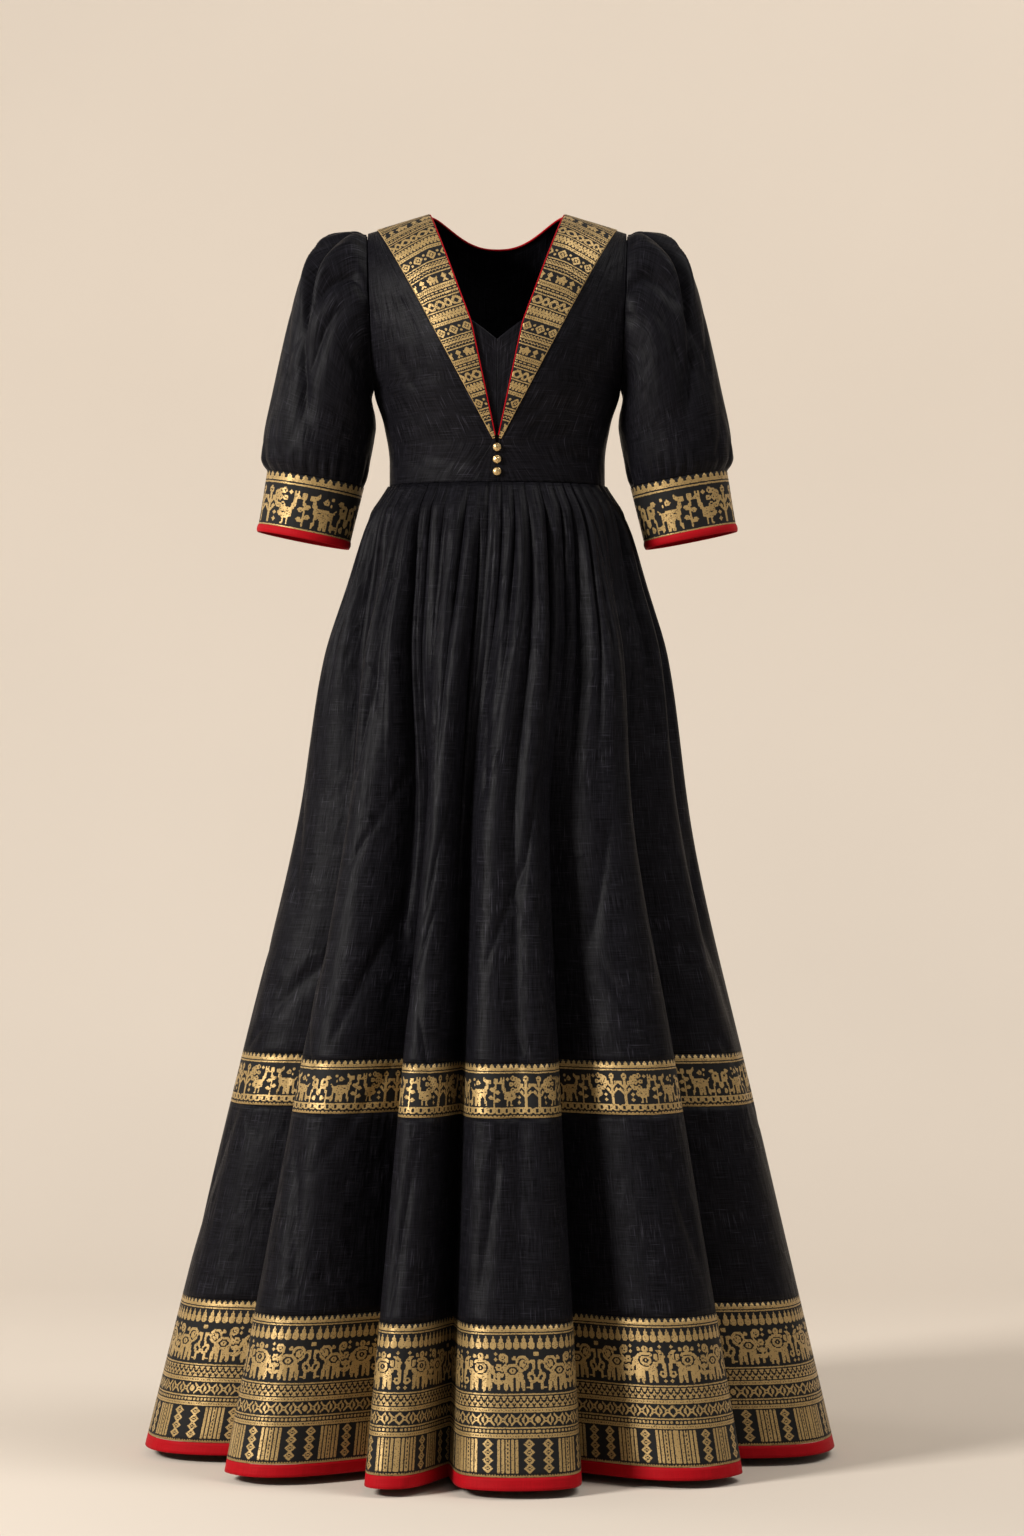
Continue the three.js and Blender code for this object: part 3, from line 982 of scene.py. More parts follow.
LION = (
    Mark(42.0, 15.0, 7.0, 5.4),
    Mark(37.0, 23.6, 1.7, 6.6, 6), Mark(40.6, 24.2, 1.6, 6.2, -6),
    Mark(45.4, 24.0, 1.7, 6.4, 4), Mark(49.2, 23.4, 1.6, 6.8, -8),
    Mark(35.4, 11.6, 0.9, 5.0, 28), Mark(34.4, 5.2, 3.4, 3.4, 0, 0.50), Mark(34.4, 5.2, 1.0, 1.0),
    Mark(49.0, 9.6, 5.4, 6.0), Mark(49.0, 9.6, 3.6, 4.0, 0, 0.0, False), Mark(49.4, 9.8, 2.4, 2.8),
    Mark(50.2, 9.0, 0.8, 0.8, 0, 0.0, False),
    Mark(41.4, 15.0, 4.4, 3.0, 0, 0.62, False), Mark(41.4, 15.0, 0.9, 0.9, 0, 0.0, False),
    Mark(42.6, 5.6, 1.5, 1.5),
)

GROVE = (
    Mark(31.0, 22.5, 0.8, 8.0), Mark(29.0, 18.4, 2.4, 1.2, 38), Mark(33.0, 18.4, 2.4, 1.2, -38),
    Mark(29.0, 23.4, 2.4, 1.2, 38), Mark(33.2, 23.4, 2.2, 1.2, -38), Mark(31.0, 12.4, 2.6, 2.8),
    Mark(31.0, 12.4, 1.0, 1.0, 0, 0.0, False),
    Mark(56.4, 20.0, 3.0, 4.6, -24), Mark(57.6, 13.0, 1.0, 4.6, 8), Mark(57.0, 8.4, 1.8, 1.8),
    Mark(54.6, 8.8, 1.4, 0.8), Mark(56.6, 20.0, 1.2, 2.2, -24, 0.0, False),
    Mark(56.0, 26.6, 0.8, 3.0), Mark(53.6, 27.6, 1.8, 0.9), Mark(59.0, 2.6, 1.4, 1.4),
)

PROCESSION = drawn(ELEPHANT + LION + GROVE, 31)

GARDEN = (
    "....##.........##...........................................",
    "...####.....####.#.....#.#............#.....................",
    "...#..#...###.##.#.....#.#..###......##.......##............",
    "...####..########......###..###..######....#..##....###.....",
    "....##...#.###.........#.##.###..#####....###......####.....",
    "....##...######.###....########..####....##.#.......######..",
    "###.##.####.#.###.#....##....#.....##.....###.#.......#####.",
    "###.##.########.###....##....#.....##.........#......##..##.",
    ".##.##.###.#.#.........##....##....###...............##..##.",
    "..######.###...##.....###....#####.###............#..######.",
    "...####...#####..#....###.....####..##########...#...######.",
    ".#..##..#.##.#####....##...######...##############....#####.",
    "###.##.###.###.#########..#####.....###..####.###.....#####.",
    ".##.##.##.....#########....##.#.....######.######.....#...##",
    "..######......#########.......#......############....##...##",
    "...####......###..#####.......#.##...############....##...##",
    "....##.......#######.##.......#####..##.######..#....#....##",
    "....##........#########....##.####...#...##.##..#....#.....#",
    "....##..........#####.....#####......#...#####..##...#..##..",
    "....##...........#..#......####.....##...#####..######.###..",
    "....##...........#..#.........#.....##...#####..######.###..",
    "....##...........#..#.........#.....#....##.##..##...#..##..",
    "....##..........##..#.........#.....#....##.##...#...#......",
    "....##........................#......................#......",
    ".###########################################################",
    "##..####..####..####..####..####..####..####..####..####..##",
    "##..####..####..####..####..####..####..####..####..####..##",
    "##..####..####..####..####..####..####..####..####..####..##",
    ".####..####..####..####..####..####..####..####..####..####.",
)

HEM_CHART = Chart(
    "hem figures",
    TEETH
    + LEAVES
    + seeded(PROCESSION)
    + tiled(
        ".....", "#####", ".....",
        "##.##", "#...#", "#.#.#", "..#..", ".###.", "#.#.#", "#...#", "##.##",
        ".....", "#####", "#.#.#", "#####", ".....",
    )
    + tiled(
        "#......#..", "##....##..", ".##..##..#", "..####..##", "..#..#..##",
        "..####..##", ".##..##..#", "##....##..", "#......#..", "..........",
    )
    + tiled("######", "......", ".##.##", ".##.##", "......", "######", "#.#.#.", "######", "......")
    + tiled(
        "##.##.#.#.##.##.......##......",
        "##.##.#.#.##.##......####.....",
        "##.##.###.##.##.....##..##....",
        "##.##.#.#.##.##....##.##.##...",
        "##.##.#.#.##.##.....##..##....",
        "##.##.###.##.##......####.....",
    )
    * 4
    + tiled("##.##.###.##.##.......##......", "..............................", "#.#.#.", "######"),
)

BORDER_CHART = Chart(
    "border figures",
    TEETH + tiled(".") + seeded(GARDEN) + tiled(".", "#.##.#", "#"),
)

CUFF_CHART = Chart("cuff figures", TEETH + tiled(".") + seeded(GARDEN)[:23] + tiled(".", "#"))

BAND_CHART = Chart(
    "neck figures",
    tiled("#", "#.", "#", ".")
    + tiled(
        "............", "....##......", "...####...##", "..##..##..##", ".##.##.##...",
        ".##.##.##...", "..##..##..##", "...####...##", "....##......", "............",
    )
    + tiled("#", ".", "##.", "..#", "##.", "#", ".", "#.#", ".#.", ".", "#")
    + tiled(
        "....................",
        "......##.......#....",
        ".#...####.....###...",
        ".##########..#####..",
        "..#########...###...",
        "..########.....#....",
        "..##.##.##....###...",
        "..##.##.##...##.##..",
        "....................",
    )
    + tiled("#", "#.", ".#", "#", "....", "#.##", "....", "#", "#.", ".", "#")
    + tiled(
        "...............",
        "##....###....##",
        "###..#####..###",
        ".###.##.##.###.",
        "..####...####..",
        "..####...####..",
        ".###.##.##.###.",
        "###..#####..###",
        "...............",
    )
    + tiled("#", ".", "#.#", "#.#", "#", "##.", "#", "#.#", "#.#", "."),
    repeats=True,
)


# ------------------------------------------------------------------------ the bodice


@dataclass
class Bodice:
    """The fitted top: two front panels, a back, the neck bands, the inset and the piping."""

    sizes: Profile = Profile(
        (-0.330, -0.300, -0.250, -0.205, -0.160, -0.100, 0.0),
        {
            "side": (0.130, 0.130, 0.137, 0.149, 0.151, 0.153, 0.157),
            "front": (0.096, 0.0985, 0.107, 0.113, 0.114, 0.108, 0.104),
            "back": (0.091, 0.091, 0.092, 0.095, 0.097, 0.095, 0.092),
        },
    )
    neckline: Profile = Profile(
        (-0.330, -0.286, -0.278, -0.138, 0.0),
        {
            "open": (0.00015, 0.00015, 0.0022, 0.032, 0.083),
            "band": (0.040, 0.008, 0.005, 0.080, 0.146),
        },
    )
    bust: tuple[float, ...] = (0.070, -0.175, 0.007, 0.036, 0.042)
    neck_roll: float = 42.0
    inset: tuple[float, ...] = (-0.294, -0.160, 0.76, 0.010, 0.002)
    creases: tuple[Crease, ...] = (
        Crease(0.052, -0.262, 12, 0.075, 0.0016, 0.0009),
        Crease(0.086, -0.252, 4, 0.110, 0.0016, 0.0008),
        Crease(0.030, -0.266, 74, 0.060, 0.0045, 0.0011),
        Crease(0.042, -0.281, 80, 0.070, 0.0040, 0.0009),
        Crease(0.036, -0.250, 62, 0.045, 0.0035, 0.0008),
        Crease(0.070, -0.300, 78, 0.060, 0.0050, 0.0009),
        Crease(0.112, -0.190, 30, 0.070, 0.0060, 0.0016),
        Crease(0.118, -0.232, 46, 0.060, 0.0055, 0.0013),
        Crease(0.100, -0.150, 12, 0.080, 0.0070, 0.0013),
        Crease(0.122, -0.095, -6, 0.080, 0.0060, 0.0012),
        Crease(0.104, -0.302, 64, 0.050, 0.0050, 0.0010),
    )

    back_creases: tuple[Crease, ...] = (
        Crease(0.062, -0.262, 4, 0.120, 0.0016, 0.0010),
        Crease(0.112, -0.215, 38, 0.070, 0.0060, 0.0014),
        Crease(0.100, -0.150, 16, 0.080, 0.0070, 0.0012),
        Crease(0.030, -0.298, 82, 0.060, 0.0050, 0.0010),
        Crease(0.080, -0.286, 70, 0.060, 0.0050, 0.0009),
    )
    first_button: float = -0.2875
    button_gap: float = 0.0146
    weave_lean: float = 17.0
    band_width: float = 0.066
    band_ease: float = 1.04

    def roll(self, g: Array) -> Array:
        """The angle that the top has rolled back by at height g."""
        return np.where(g <= CHEST_Z, 0.0, (g - CHEST_Z) / -CHEST_Z * math.pi / 2)

    def level(self, g: Array) -> Array:
        """The true height at g, before the shoulder's fall."""
        return np.where(g <= CHEST_Z, g, CHEST_Z - CHEST_Z * np.sin(self.roll(g)))

    def section(self, face: str, g: Array) -> tuple[Array, ...]:
        """Read the bodice's section at a height.

        Args:
            face: Which face it is, front or back.
            g: The height, measured up the cloth where the top rolls back.

        Returns:
            The true height, the depth, the half width and the outermost angle.
        """
        z = self.level(g)
        depth = self.sizes.read(face, z) * np.maximum(np.cos(self.roll(g)), 1e-6)
        middle = ARMHOLE_BOTTOM / 2
        round_ = np.sqrt(np.maximum(0.0, 1.0 - ((z - middle) / middle) ** 2))
        edge = np.clip(ARMHOLE_DEPTH * round_ / depth, 0.0, 0.999)
        outermost = np.arccos(np.where(z <= ARMHOLE_BOTTOM, 0.0, edge))
        return z, depth, self.sizes.read("side", z) / np.sin(outermost), outermost

    def at(self, face: str, angle: Array, g: Array) -> Array:
        """Find a point of the bodice.

        Args:
            face: Which face it is on, front or back.
            angle: Its angle from the middle of that face.
            g: Its height up the cloth.

        Returns:
            The point.
        """
        z, depth, half, _ = self.section(face, g)
        x = half * np.sin(angle)
        fallen = np.clip((np.abs(x) - NECK_POINT_X) / (SHOULDER_POINT_X - NECK_POINT_X), 0, 1.2)
        drop = SHOULDER_DROP * fallen * (z - WAIST_Z) / -WAIST_Z
        if face == "front":
            bx, bz, out, wide, high = self.bust
            depth = depth + out * bell((np.abs(x) - bx) / wide) * bell((z - bz) / high)
        y = depth * np.cos(angle)
        return np.stack([x, -y if face == "front" else y, z - drop], axis=-1)

    def angle(self, face: str, x: Array, g: Array) -> Array:
        """The angle at which the bodice is x from the middle."""
        return np.arcsin(np.clip(x / self.section(face, g)[2], -1.0, 1.0))

    def edge(self, name: str, g: Array) -> Array:
        """Half the neck opening, or the band's outer edge, at height g."""
        return self.neckline.read(name, self.level(g), straight=True)

    def front(self, side: Side, s: Array, g: Array) -> Array:
        """Find a point of a front panel.

        Args:
            side: The panel's side.
            s: 0 at the opening, 1 at the band's edge and 2 at the side seam.
            g: Its height up the cloth.

        Returns:
            The point.
        """
        inner = self.angle("front", self.edge("open", g), g)
        outer = self.angle("front", self.edge("band", g), g)
        far = self.section("front", g)[3]
        angle = np.where(s < 1, inner + (outer - inner) * s, outer + (far - outer) * (s - 1))
        return self.at("front", side.value * angle, g)

    def relief(self, p: Array) -> Array:
        """The darts and creases of a front, from where its points are."""
        return creased(self.creases, np.abs(p[..., 0]), p[..., 2])

    def outward(self, g: Array) -> Array:
        """The direction straight out of the front at height g."""
        return np.stack([0.0 * g, -np.cos(self.roll(g)), np.sin(self.roll(g))], axis=-1)

    def neck_share(self) -> float:
        """The share of the back's half width that the neck takes at the top."""
        top = np.array([TOP])
        return float(self.angle("back", NECK_POINT_X, top)[0] / self.section("back", top)[3][0])

    def back_top(self, share: Array) -> Array:
        """Find the height of the back's upper edge.

        Args:
            share: The place across the back, from -1 to 1.

        Returns:
            The height there.
        """
        across = np.minimum(1.0, np.abs(share) / self.neck_share())
        low, high = math.radians(self.neck_roll), float(self.roll(np.array([TOP]))[0])
        return CHEST_Z - CHEST_Z * (low + (high - low) * across**2.4) / (math.pi / 2)

    def back(self, share: Array, t: Array) -> Array:
        """A point of the back: share runs from -1 to 1 across it and t from 0 to 1 up it."""
        g = WAIST_Z + SEAM + (self.back_top(share) - WAIST_Z - SEAM) * t
        return self.at("back", share * self.section("back", g)[3], g)

    def build(self, black: Material, band: Material, red: Material,
              gold: Material) -> list[bpy.types.Object]:
        """Make every piece of the bodice.

        Args:
            black: The gown's own cloth.
            band: The brocade of the neck bands.
            red: The piping's cloth.
            gold: The buttons' metal.

        Returns:
            The pieces.
        """
        made = []
        for side in Side:
            made += [self._front(side, black), self._band(side, band)]
            made += [self._inset(side, black), self._front_piping(side, red)]
        made += [self._back(black), self._back_piping(red)]
        made += [self._button(n, gold) for n in range(3)]
        return made

    def _front(self, side: Side, black: Material) -> bpy.types.Object:
        """Make one front panel.

        Args:
            side: The side of the wearer.
            black: Its cloth.

        Returns:
            The piece.
        """
        low = WAIST_Z + SEAM

        def surface(s: Array, t: Array) -> Array:
            """The panel, from its opening to the side seam."""
            return self.front(side, 2.0 * s, TOP + (low - TOP) * t)

        def relief(s: Array, t: Array) -> Array:
            """The creases, where no band lies over them."""
            p = surface(s, t)
            free = smooth(s, 0.50, 0.56) + smooth(-p[:, 2], 0.270, 0.285)
            return self.relief(p) * np.clip(free, 0.0, 1.0)

        cloth = Cloth(f"front_panel_{side.word}", 96, 110, surface, relief, apart=side.value)
        return stands_for(cloth.build(black), f"front_bodice_{side.word}", "black_cloth",
                          flat=(0.26, 0.42), held="stretched", area=0.062)

    def _back(self, black: Material) -> bpy.types.Object:
        """Make the back, in one piece.

        Args:
            black: Its cloth.

        Returns:
            The piece.
        """

        def surface(s: Array, t: Array) -> Array:
            """The back, from side to side."""
            return self.back(2.0 * s - 1.0, 1.0 - t)

        def relief(s: Array, t: Array) -> Array:
            """Its darts and creases."""
            p = surface(s, t)
            return creased(self.back_creases, np.abs(p[:, 0]), p[:, 2])

        piece = Cloth("back_panel", 150, 110, surface, relief).build(black)
        return stands_for(piece, "back_bodice", "black_cloth",
                          flat=(0.46, 0.42), held="stretched", area=0.125)

    def _band(self, side: Side, brocade: Material) -> bpy.types.Object:
        """Make one neck band, woven across at a slight lean.

        Args:
            side: The side of the wearer.
            brocade: Its cloth.

        Returns:
            The piece.
        """
        steps = np.linspace(TOP, NECK_V_Z, 200)
        rim = self.front(side, np.ones_like(steps), steps)
        gone = np.concatenate([[0.0], np.cumsum(np.linalg.norm(np.diff(rim, axis=0), axis=1))])
        lean = math.radians(self.weave_lean)

        def height(t: Array) -> Array:
            """The height at a share down the band."""
            return TOP + (NECK_V_Z - TOP) * t

        def surface(s: Array, t: Array) -> Array:
            """The band, laid on the front panel."""
            g = height(t)
            return self.front(side, s, g) + self.outward(g) * (CLOTH + SEAM)

        def weave(s: Array, t: Array) -> tuple[Array, Array]:
            """Measure the weave inwards and down from the outer edge.

            Args:
                s: Each point's share across.
                t: Each point's share down.

            Returns:
                Its place across and up the weave.
            """
            g = height(t)
            wide = (self.edge("band", g) - self.edge("open", g)) * self.band_ease
            far = np.interp(-g, -steps, gone)
            inward = wide * (1.0 - s)
            return (self.band_width - inward * math.cos(lean),
                    -(far + inward * math.sin(lean)))

        piece = Cloth(f"neck_band_cloth_{side.word}", 30, 120, surface, weave=weave).build(brocade)
        return stands_for(piece, f"neck_band_{side.word}", "brocade",
                          flat=(0.073, 0.36), held="laid", area=0.0165,
                          rests_on=[f"front_panel_{side.word}"])

    def _inset(self, side: Side, black: Material) -> bpy.types.Object:
        """Make one half of the panel inside the V.

        Args:
            side: The side of the wearer.
            black: Its cloth.

        Returns:
            The piece.
        """
        bottom, point, rise, tuck, behind = self.inset
        far_top = float(self.edge("open", np.array([point + rise * 0.032]))[0]) + tuck

        def surface(s: Array, t: Array) -> Array:
            """Shape the half panel, from the middle seam to behind the band.

            Args:
                s: Each point's share across.
                t: Each point's share down.

            Returns:
                The points.
            """
            x = SEAM / 2 + (far_top - SEAM / 2) * s
            g = point + rise * x + (bottom - point - rise * x) * t
            far = np.minimum(far_top, self.edge("open", g) + tuck)
            wide = SEAM / 2 + (far - SEAM / 2) * s
            p = self.at("front", side.value * self.angle("front", wide, g), g)
            return p + np.array([0.0, behind + CLOTH, 0.0])

        piece = Cloth(f"inset_{side.word}", 30, 60, surface).build(black)
        return stands_for(piece, f"neck_inset_{side.word}", "black_cloth",
                          flat=(0.05, 0.17), held="stretched", area=0.0042)

    def _front_piping(self, side: Side, red: Material) -> bpy.types.Object:
        """Make the cord along the front edge of one band.

        Args:
            side: The side of the wearer.
            red: Its cloth.

        Returns:
            The piece.
        """
        heights = np.linspace(NECK_V_Z + 0.004, TOP - 0.0012, 40)
        inner = self.edge("open", heights) - 0.0010
        p = self.at("front", side.value * self.angle("front", inner, heights), heights)
        p = p + self.outward(heights) * (CLOTH + 0.0006)
        piece = cord_mesh(f"neck_cord_{side.word}", [Vector(q) for q in p], 0.0008, red)
        return stands_for(piece, f"neck_piping_{side.word}", "red_piping")

    def _back_piping(self, red: Material) -> bpy.types.Object:
        """Make the cord along the back of the neck.

        Args:
            red: Its cloth.

        Returns:
            The piece.
        """
        share = np.linspace(-0.99, 0.99, 48) * self.neck_share()
        edge = self.back(share, np.ones_like(share))
        run = np.gradient(edge, axis=0)
        run /= np.linalg.norm(run, axis=1, keepdims=True)
        up = edge - self.back(share, np.full_like(share, 0.99))
        up -= run * np.sum(up * run, axis=1, keepdims=True)
        up /= np.linalg.norm(up, axis=1, keepdims=True)
        p = edge + up * 0.0009 + np.cross(run, up) * CLOTH / 2
        piece = cord_mesh("neck_cord_back", [Vector(q) for q in p], 0.00125, red)
        return stands_for(piece, "neck_piping_back", "red_piping")

    def _button(self, number: int, gold: Material) -> bpy.types.Object:
        """Make a ball button with a rim and a small boss, spun round its own axis.

        Args:
            number: Its place down the front, from 0.
            gold: Its metal.

        Returns:
            The piece.
        """
        z = self.first_button - self.button_gap * number
        angle, g = np.zeros(2), np.array([z - 0.004, z + 0.004])
        low, high = self.at("front", angle, g)
        slope = Vector(high - low).normalized()
        normal = Vector((0.0, -slope.z, slope.y))
        seat = Vector(self.at("front", np.zeros(1), np.array([z]))[0]) + normal * (CLOTH + SEAM)
        profile = [
            (0.0, 0.0), (0.0030, 0.0), (0.0046, 0.0005), (0.0052, 0.0016), (0.0052, 0.0027),
            (0.0047, 0.0040), (0.0037, 0.0048), (0.0031, 0.0047), (0.0026, 0.0053),
            (0.0014, 0.0058), (0.0, 0.0059),
        ]
        bm = bmesh.new()
        line = [bm.verts.new((r, 0.0, h)) for r, h in profile]
        for a, c in zip(line, line[1:]):
            bm.edges.new((a, c))
        bmesh.ops.spin(bm, geom=bm.verts[:] + bm.edges[:], cent=(0, 0, 0), axis=(0, 0, 1),
                       angle=2 * math.pi, steps=40, use_merge=True)
        bmesh.ops.remove_doubles(bm, verts=bm.verts, dist=1e-6)
        bmesh.ops.recalc_face_normals(bm, faces=bm.faces)
        turn = Vector((0, 0, 1)).rotation_difference(normal).to_matrix().to_4x4()
        bmesh.ops.transform(bm, matrix=turn, verts=bm.verts)
        bmesh.ops.translate(bm, vec=seat, verts=bm.verts)
        mesh = bpy.data.meshes.new(f"ball_button_{number + 1}")
        written(bm, mesh)
        return stands_for(placed(mesh, gold), f"button_{number + 1}", "gold_metal")


# ----------------------------------------------------------------------- the sleeves


@dataclass
class Sleeve:
    """One puff sleeve with its cuff and piping.

    Args:
        side: The side of the wearer that it is on.
    """

    side: Side
    rings: Profile = Profile(
        (0, 1, 2, 3, 4, 5, 6, 7, 8),
        {
            "outX": (0.1588, 0.179, 0.216, 0.242, 0.259, 0.274, 0.286, 0.2865, 0.2795),
            "outZ": (-0.022, -0.0145, -0.033, -0.076, -0.140, -0.211, -0.272, -0.293, -0.3095),
            "inX": (0.1518, 0.154, 0.1525, 0.150, 0.149, 0.151, 0.1555, 0.159, 0.164),
            "inZ": (-0.212, -0.222, -0.232, -0.243, -0.256, -0.272, -0.296, -0.313, -0.330),
            "deep": (0.060, 0.067, 0.073, 0.075, 0.074, 0.071, 0.068, 0.065, 0.057),
        },
    )
    cuff: Profile = Profile(
        (0, 1, 2),
        {
            "outX": (0.2792, 0.2888, 0.2915),
            "outZ": (-0.3102, -0.3697, -0.3835),
            "inX": (0.1638, 0.1788, 0.182),
            "inZ": (-0.3308, -0.3915, -0.405),
            "deep": (0.0575, 0.0545, 0.0542),
        },
    )
    creases: tuple[Crease, ...] = (
        Crease(0.050, 0.66, -9, 0.60, 0.012, 0.0150),
        Crease(0.084, 0.78, 4, 0.34, 0.009, 0.0120),
        Crease(0.020, 0.70, -16, 0.50, 0.010, -0.0060),
        Crease(0.067, 0.66, -5, 0.44, 0.009, -0.0055),
        Crease(0.003, 0.52, 2, 0.90, 0.014, 0.0050),
        Crease(0.102, 0.62, 3, 0.40, 0.008, 0.0060),
        Crease(0.036, 0.50, -14, 0.26, 0.006, 0.0026),
        Crease(0.058, 0.50, 8, 0.20, 0.006, 0.0022),
        Crease(0.070, 0.45, 12, 0.20, 0.007, 0.0012),
        Crease(0.040, 0.36, -8, 0.24, 0.008, 0.0014),
        Crease(0.086, 0.28, 6, 0.22, 0.008, 0.0014),
        Crease(0.018, 0.26, 10, 0.22, 0.007, 0.0014),
        Crease(0.060, 0.20, -6, 0.18, 0.007, 0.0016),
        Crease(-0.040, 0.66, 8, 0.50, 0.012, 0.0060),
        Crease(-0.070, 0.60, -4, 0.60, 0.010, 0.0050),
        Crease(-0.110, 0.72, 6, 0.36, 0.009, 0.0060),
        Crease(-0.090, 0.30, 24, 0.20, 0.006, 0.0020),
    )

    def ring(self, table: Profile, turn: Array, v: Array) -> Array:
        """Find a point of the sleeve or the cuff.

        Args:
            table: Its rings.
            turn: The turn from the outer edge, forwards, in radians.
            v: The place along it, counted in rings.

        Returns:
            The point.
        """
        r = {key: table.read(key, v) for key in table.columns}
        c = np.cos(turn)
        return np.stack(
            [
                self.side.value * ((r["outX"] + r["inX"]) + (r["outX"] - r["inX"]) * c) / 2,
                -r["deep"] * np.sin(turn),
                ((r["outZ"] + r["inZ"]) + (r["outZ"] - r["inZ"]) * c) / 2,
            ],
            axis=-1,
        )

    def _gathers(self, turn: Array, v: Array) -> Array:
        """Find how far the small gathers stand out, at the head and above the cuff.

        Args:
            turn: The turn round the sleeve.
            v: The place along it.

        Returns:
            The height of the gathers.
        """
        head = smooth(-v, -2.6, -0.05) * smooth(v, -0.25, 0.5) * smooth(np.cos(turn), -0.55, 0.1)
        foot = smooth(v, 5.4, 7.4) * smooth(-v, -8.05, -7.5)
        wave = turn + 0.05 * np.sin(3.0 * turn + 1.0) + 0.03 * np.sin(7.0 * turn)
        tops = np.abs(np.sin(9.5 * wave + 0.6 * np.sin(2 * turn))) ** 0.8
        feet = np.abs(np.sin(13.0 * wave + 0.4 * np.sin(5 * turn))) ** 0.8
        uneven = 0.65 + 0.35 * np.sin(4.3 * turn + 0.7)
        return 0.0046 * (tops - 0.6) * head * uneven + 0.0040 * (feet - 0.62) * foot * uneven

    def _relief(self, turn: Array, v: Array) -> Array:
        """The sleeve's folds, creases and gathers."""
        around = 0.075 * np.where(turn > math.pi, turn - 2 * math.pi, turn)
        return creased(self.creases, around, 1.0 - v / 8.0) + self._gathers(turn, v)

    def build(self, black: Material, brocade: Material, red: Material) -> list[bpy.types.Object]:
        """Make the sleeve, the cuff and the piping.

        Args:
            black: The sleeve's cloth.
            brocade: The cuff's cloth.
            red: The piping's cloth.

        Returns:
            The three pieces.
        """
        word = self.side.word
        heart = (self.side.value * 0.215, 0.0, -0.20)
        full = 2.0 * math.pi

        def sleeve(s: Array, t: Array) -> Array:
            """The puff, from the armhole to the cuff."""
            return self.ring(self.rings, full * s, 8.0 * t)

        def cuff(s: Array, t: Array) -> Array:
            """The cuff, down to its red edge."""
            return self.ring(self.cuff, full * (s + 0.5), 1.275 * t)

        def piping(s: Array, t: Array) -> Array:
            """The red edge."""
            return self.ring(self.cuff, full * (s + 0.5), 1.28 + 0.72 * t)

        def rolled(s: Array, t: Array) -> Array:
            """The swell of the red edge."""
            return 0.0012 * np.sin(math.pi * np.clip(t, 0.0, 1.0)) ** 0.6

        puff = Cloth(f"sleeve_cloth_{word}", 165, 110, sleeve,
                     lambda s, t: self._relief(full * s, 8.0 * t), True, heart,
                     apart=self.side.value)
        low = (self.side.value * 0.23, 0.0, -0.355)
        band = Cloth(f"cuff_cloth_{word}", 120, 24, cuff, None, True, low, 0.3474, 0.0656)
        edge = Cloth(f"cuff_edge_{word}", 120, 8, piping, rolled, True, low)
        made = [puff.build(black), band.build(brocade), edge.build(red)]
        sizes = (
            ("sleeve", "black_cloth", (0.50, 0.34), 0.128, "gathered"),
            ("cuff", "brocade", (0.36, 0.066), 0.0236, "stretched"),
            ("cuff_piping", "red_piping", (0.35, 0.011), 0.0038, "stretched"),
        )
        for piece, (node, slot, flat, area, held) in zip(made, sizes):
            stands_for(piece, f"{node}_{word}", slot, flat=flat, held=held, area=area)
        return made


# ------------------------------------------------------------------------- the skirt


@dataclass(frozen=True)
class Fold:
    """One big fold of the skirt, from the valley before it.

    Args:
        valley: The valley's angle at the hem, in degrees from the front.
        deep: Its depth at the hem.
        before: How wide its first flank is, in degrees.
        after: How wide its second flank is.
        lasting: How far down the three pleats after the valley run, as heights.
        strong: How deep each of those three pleats is.
    """

    valley: float
    deep: float
    before: float
    after: float
    lasting: tuple[float, float, float]
    strong: tuple[float, float, float]


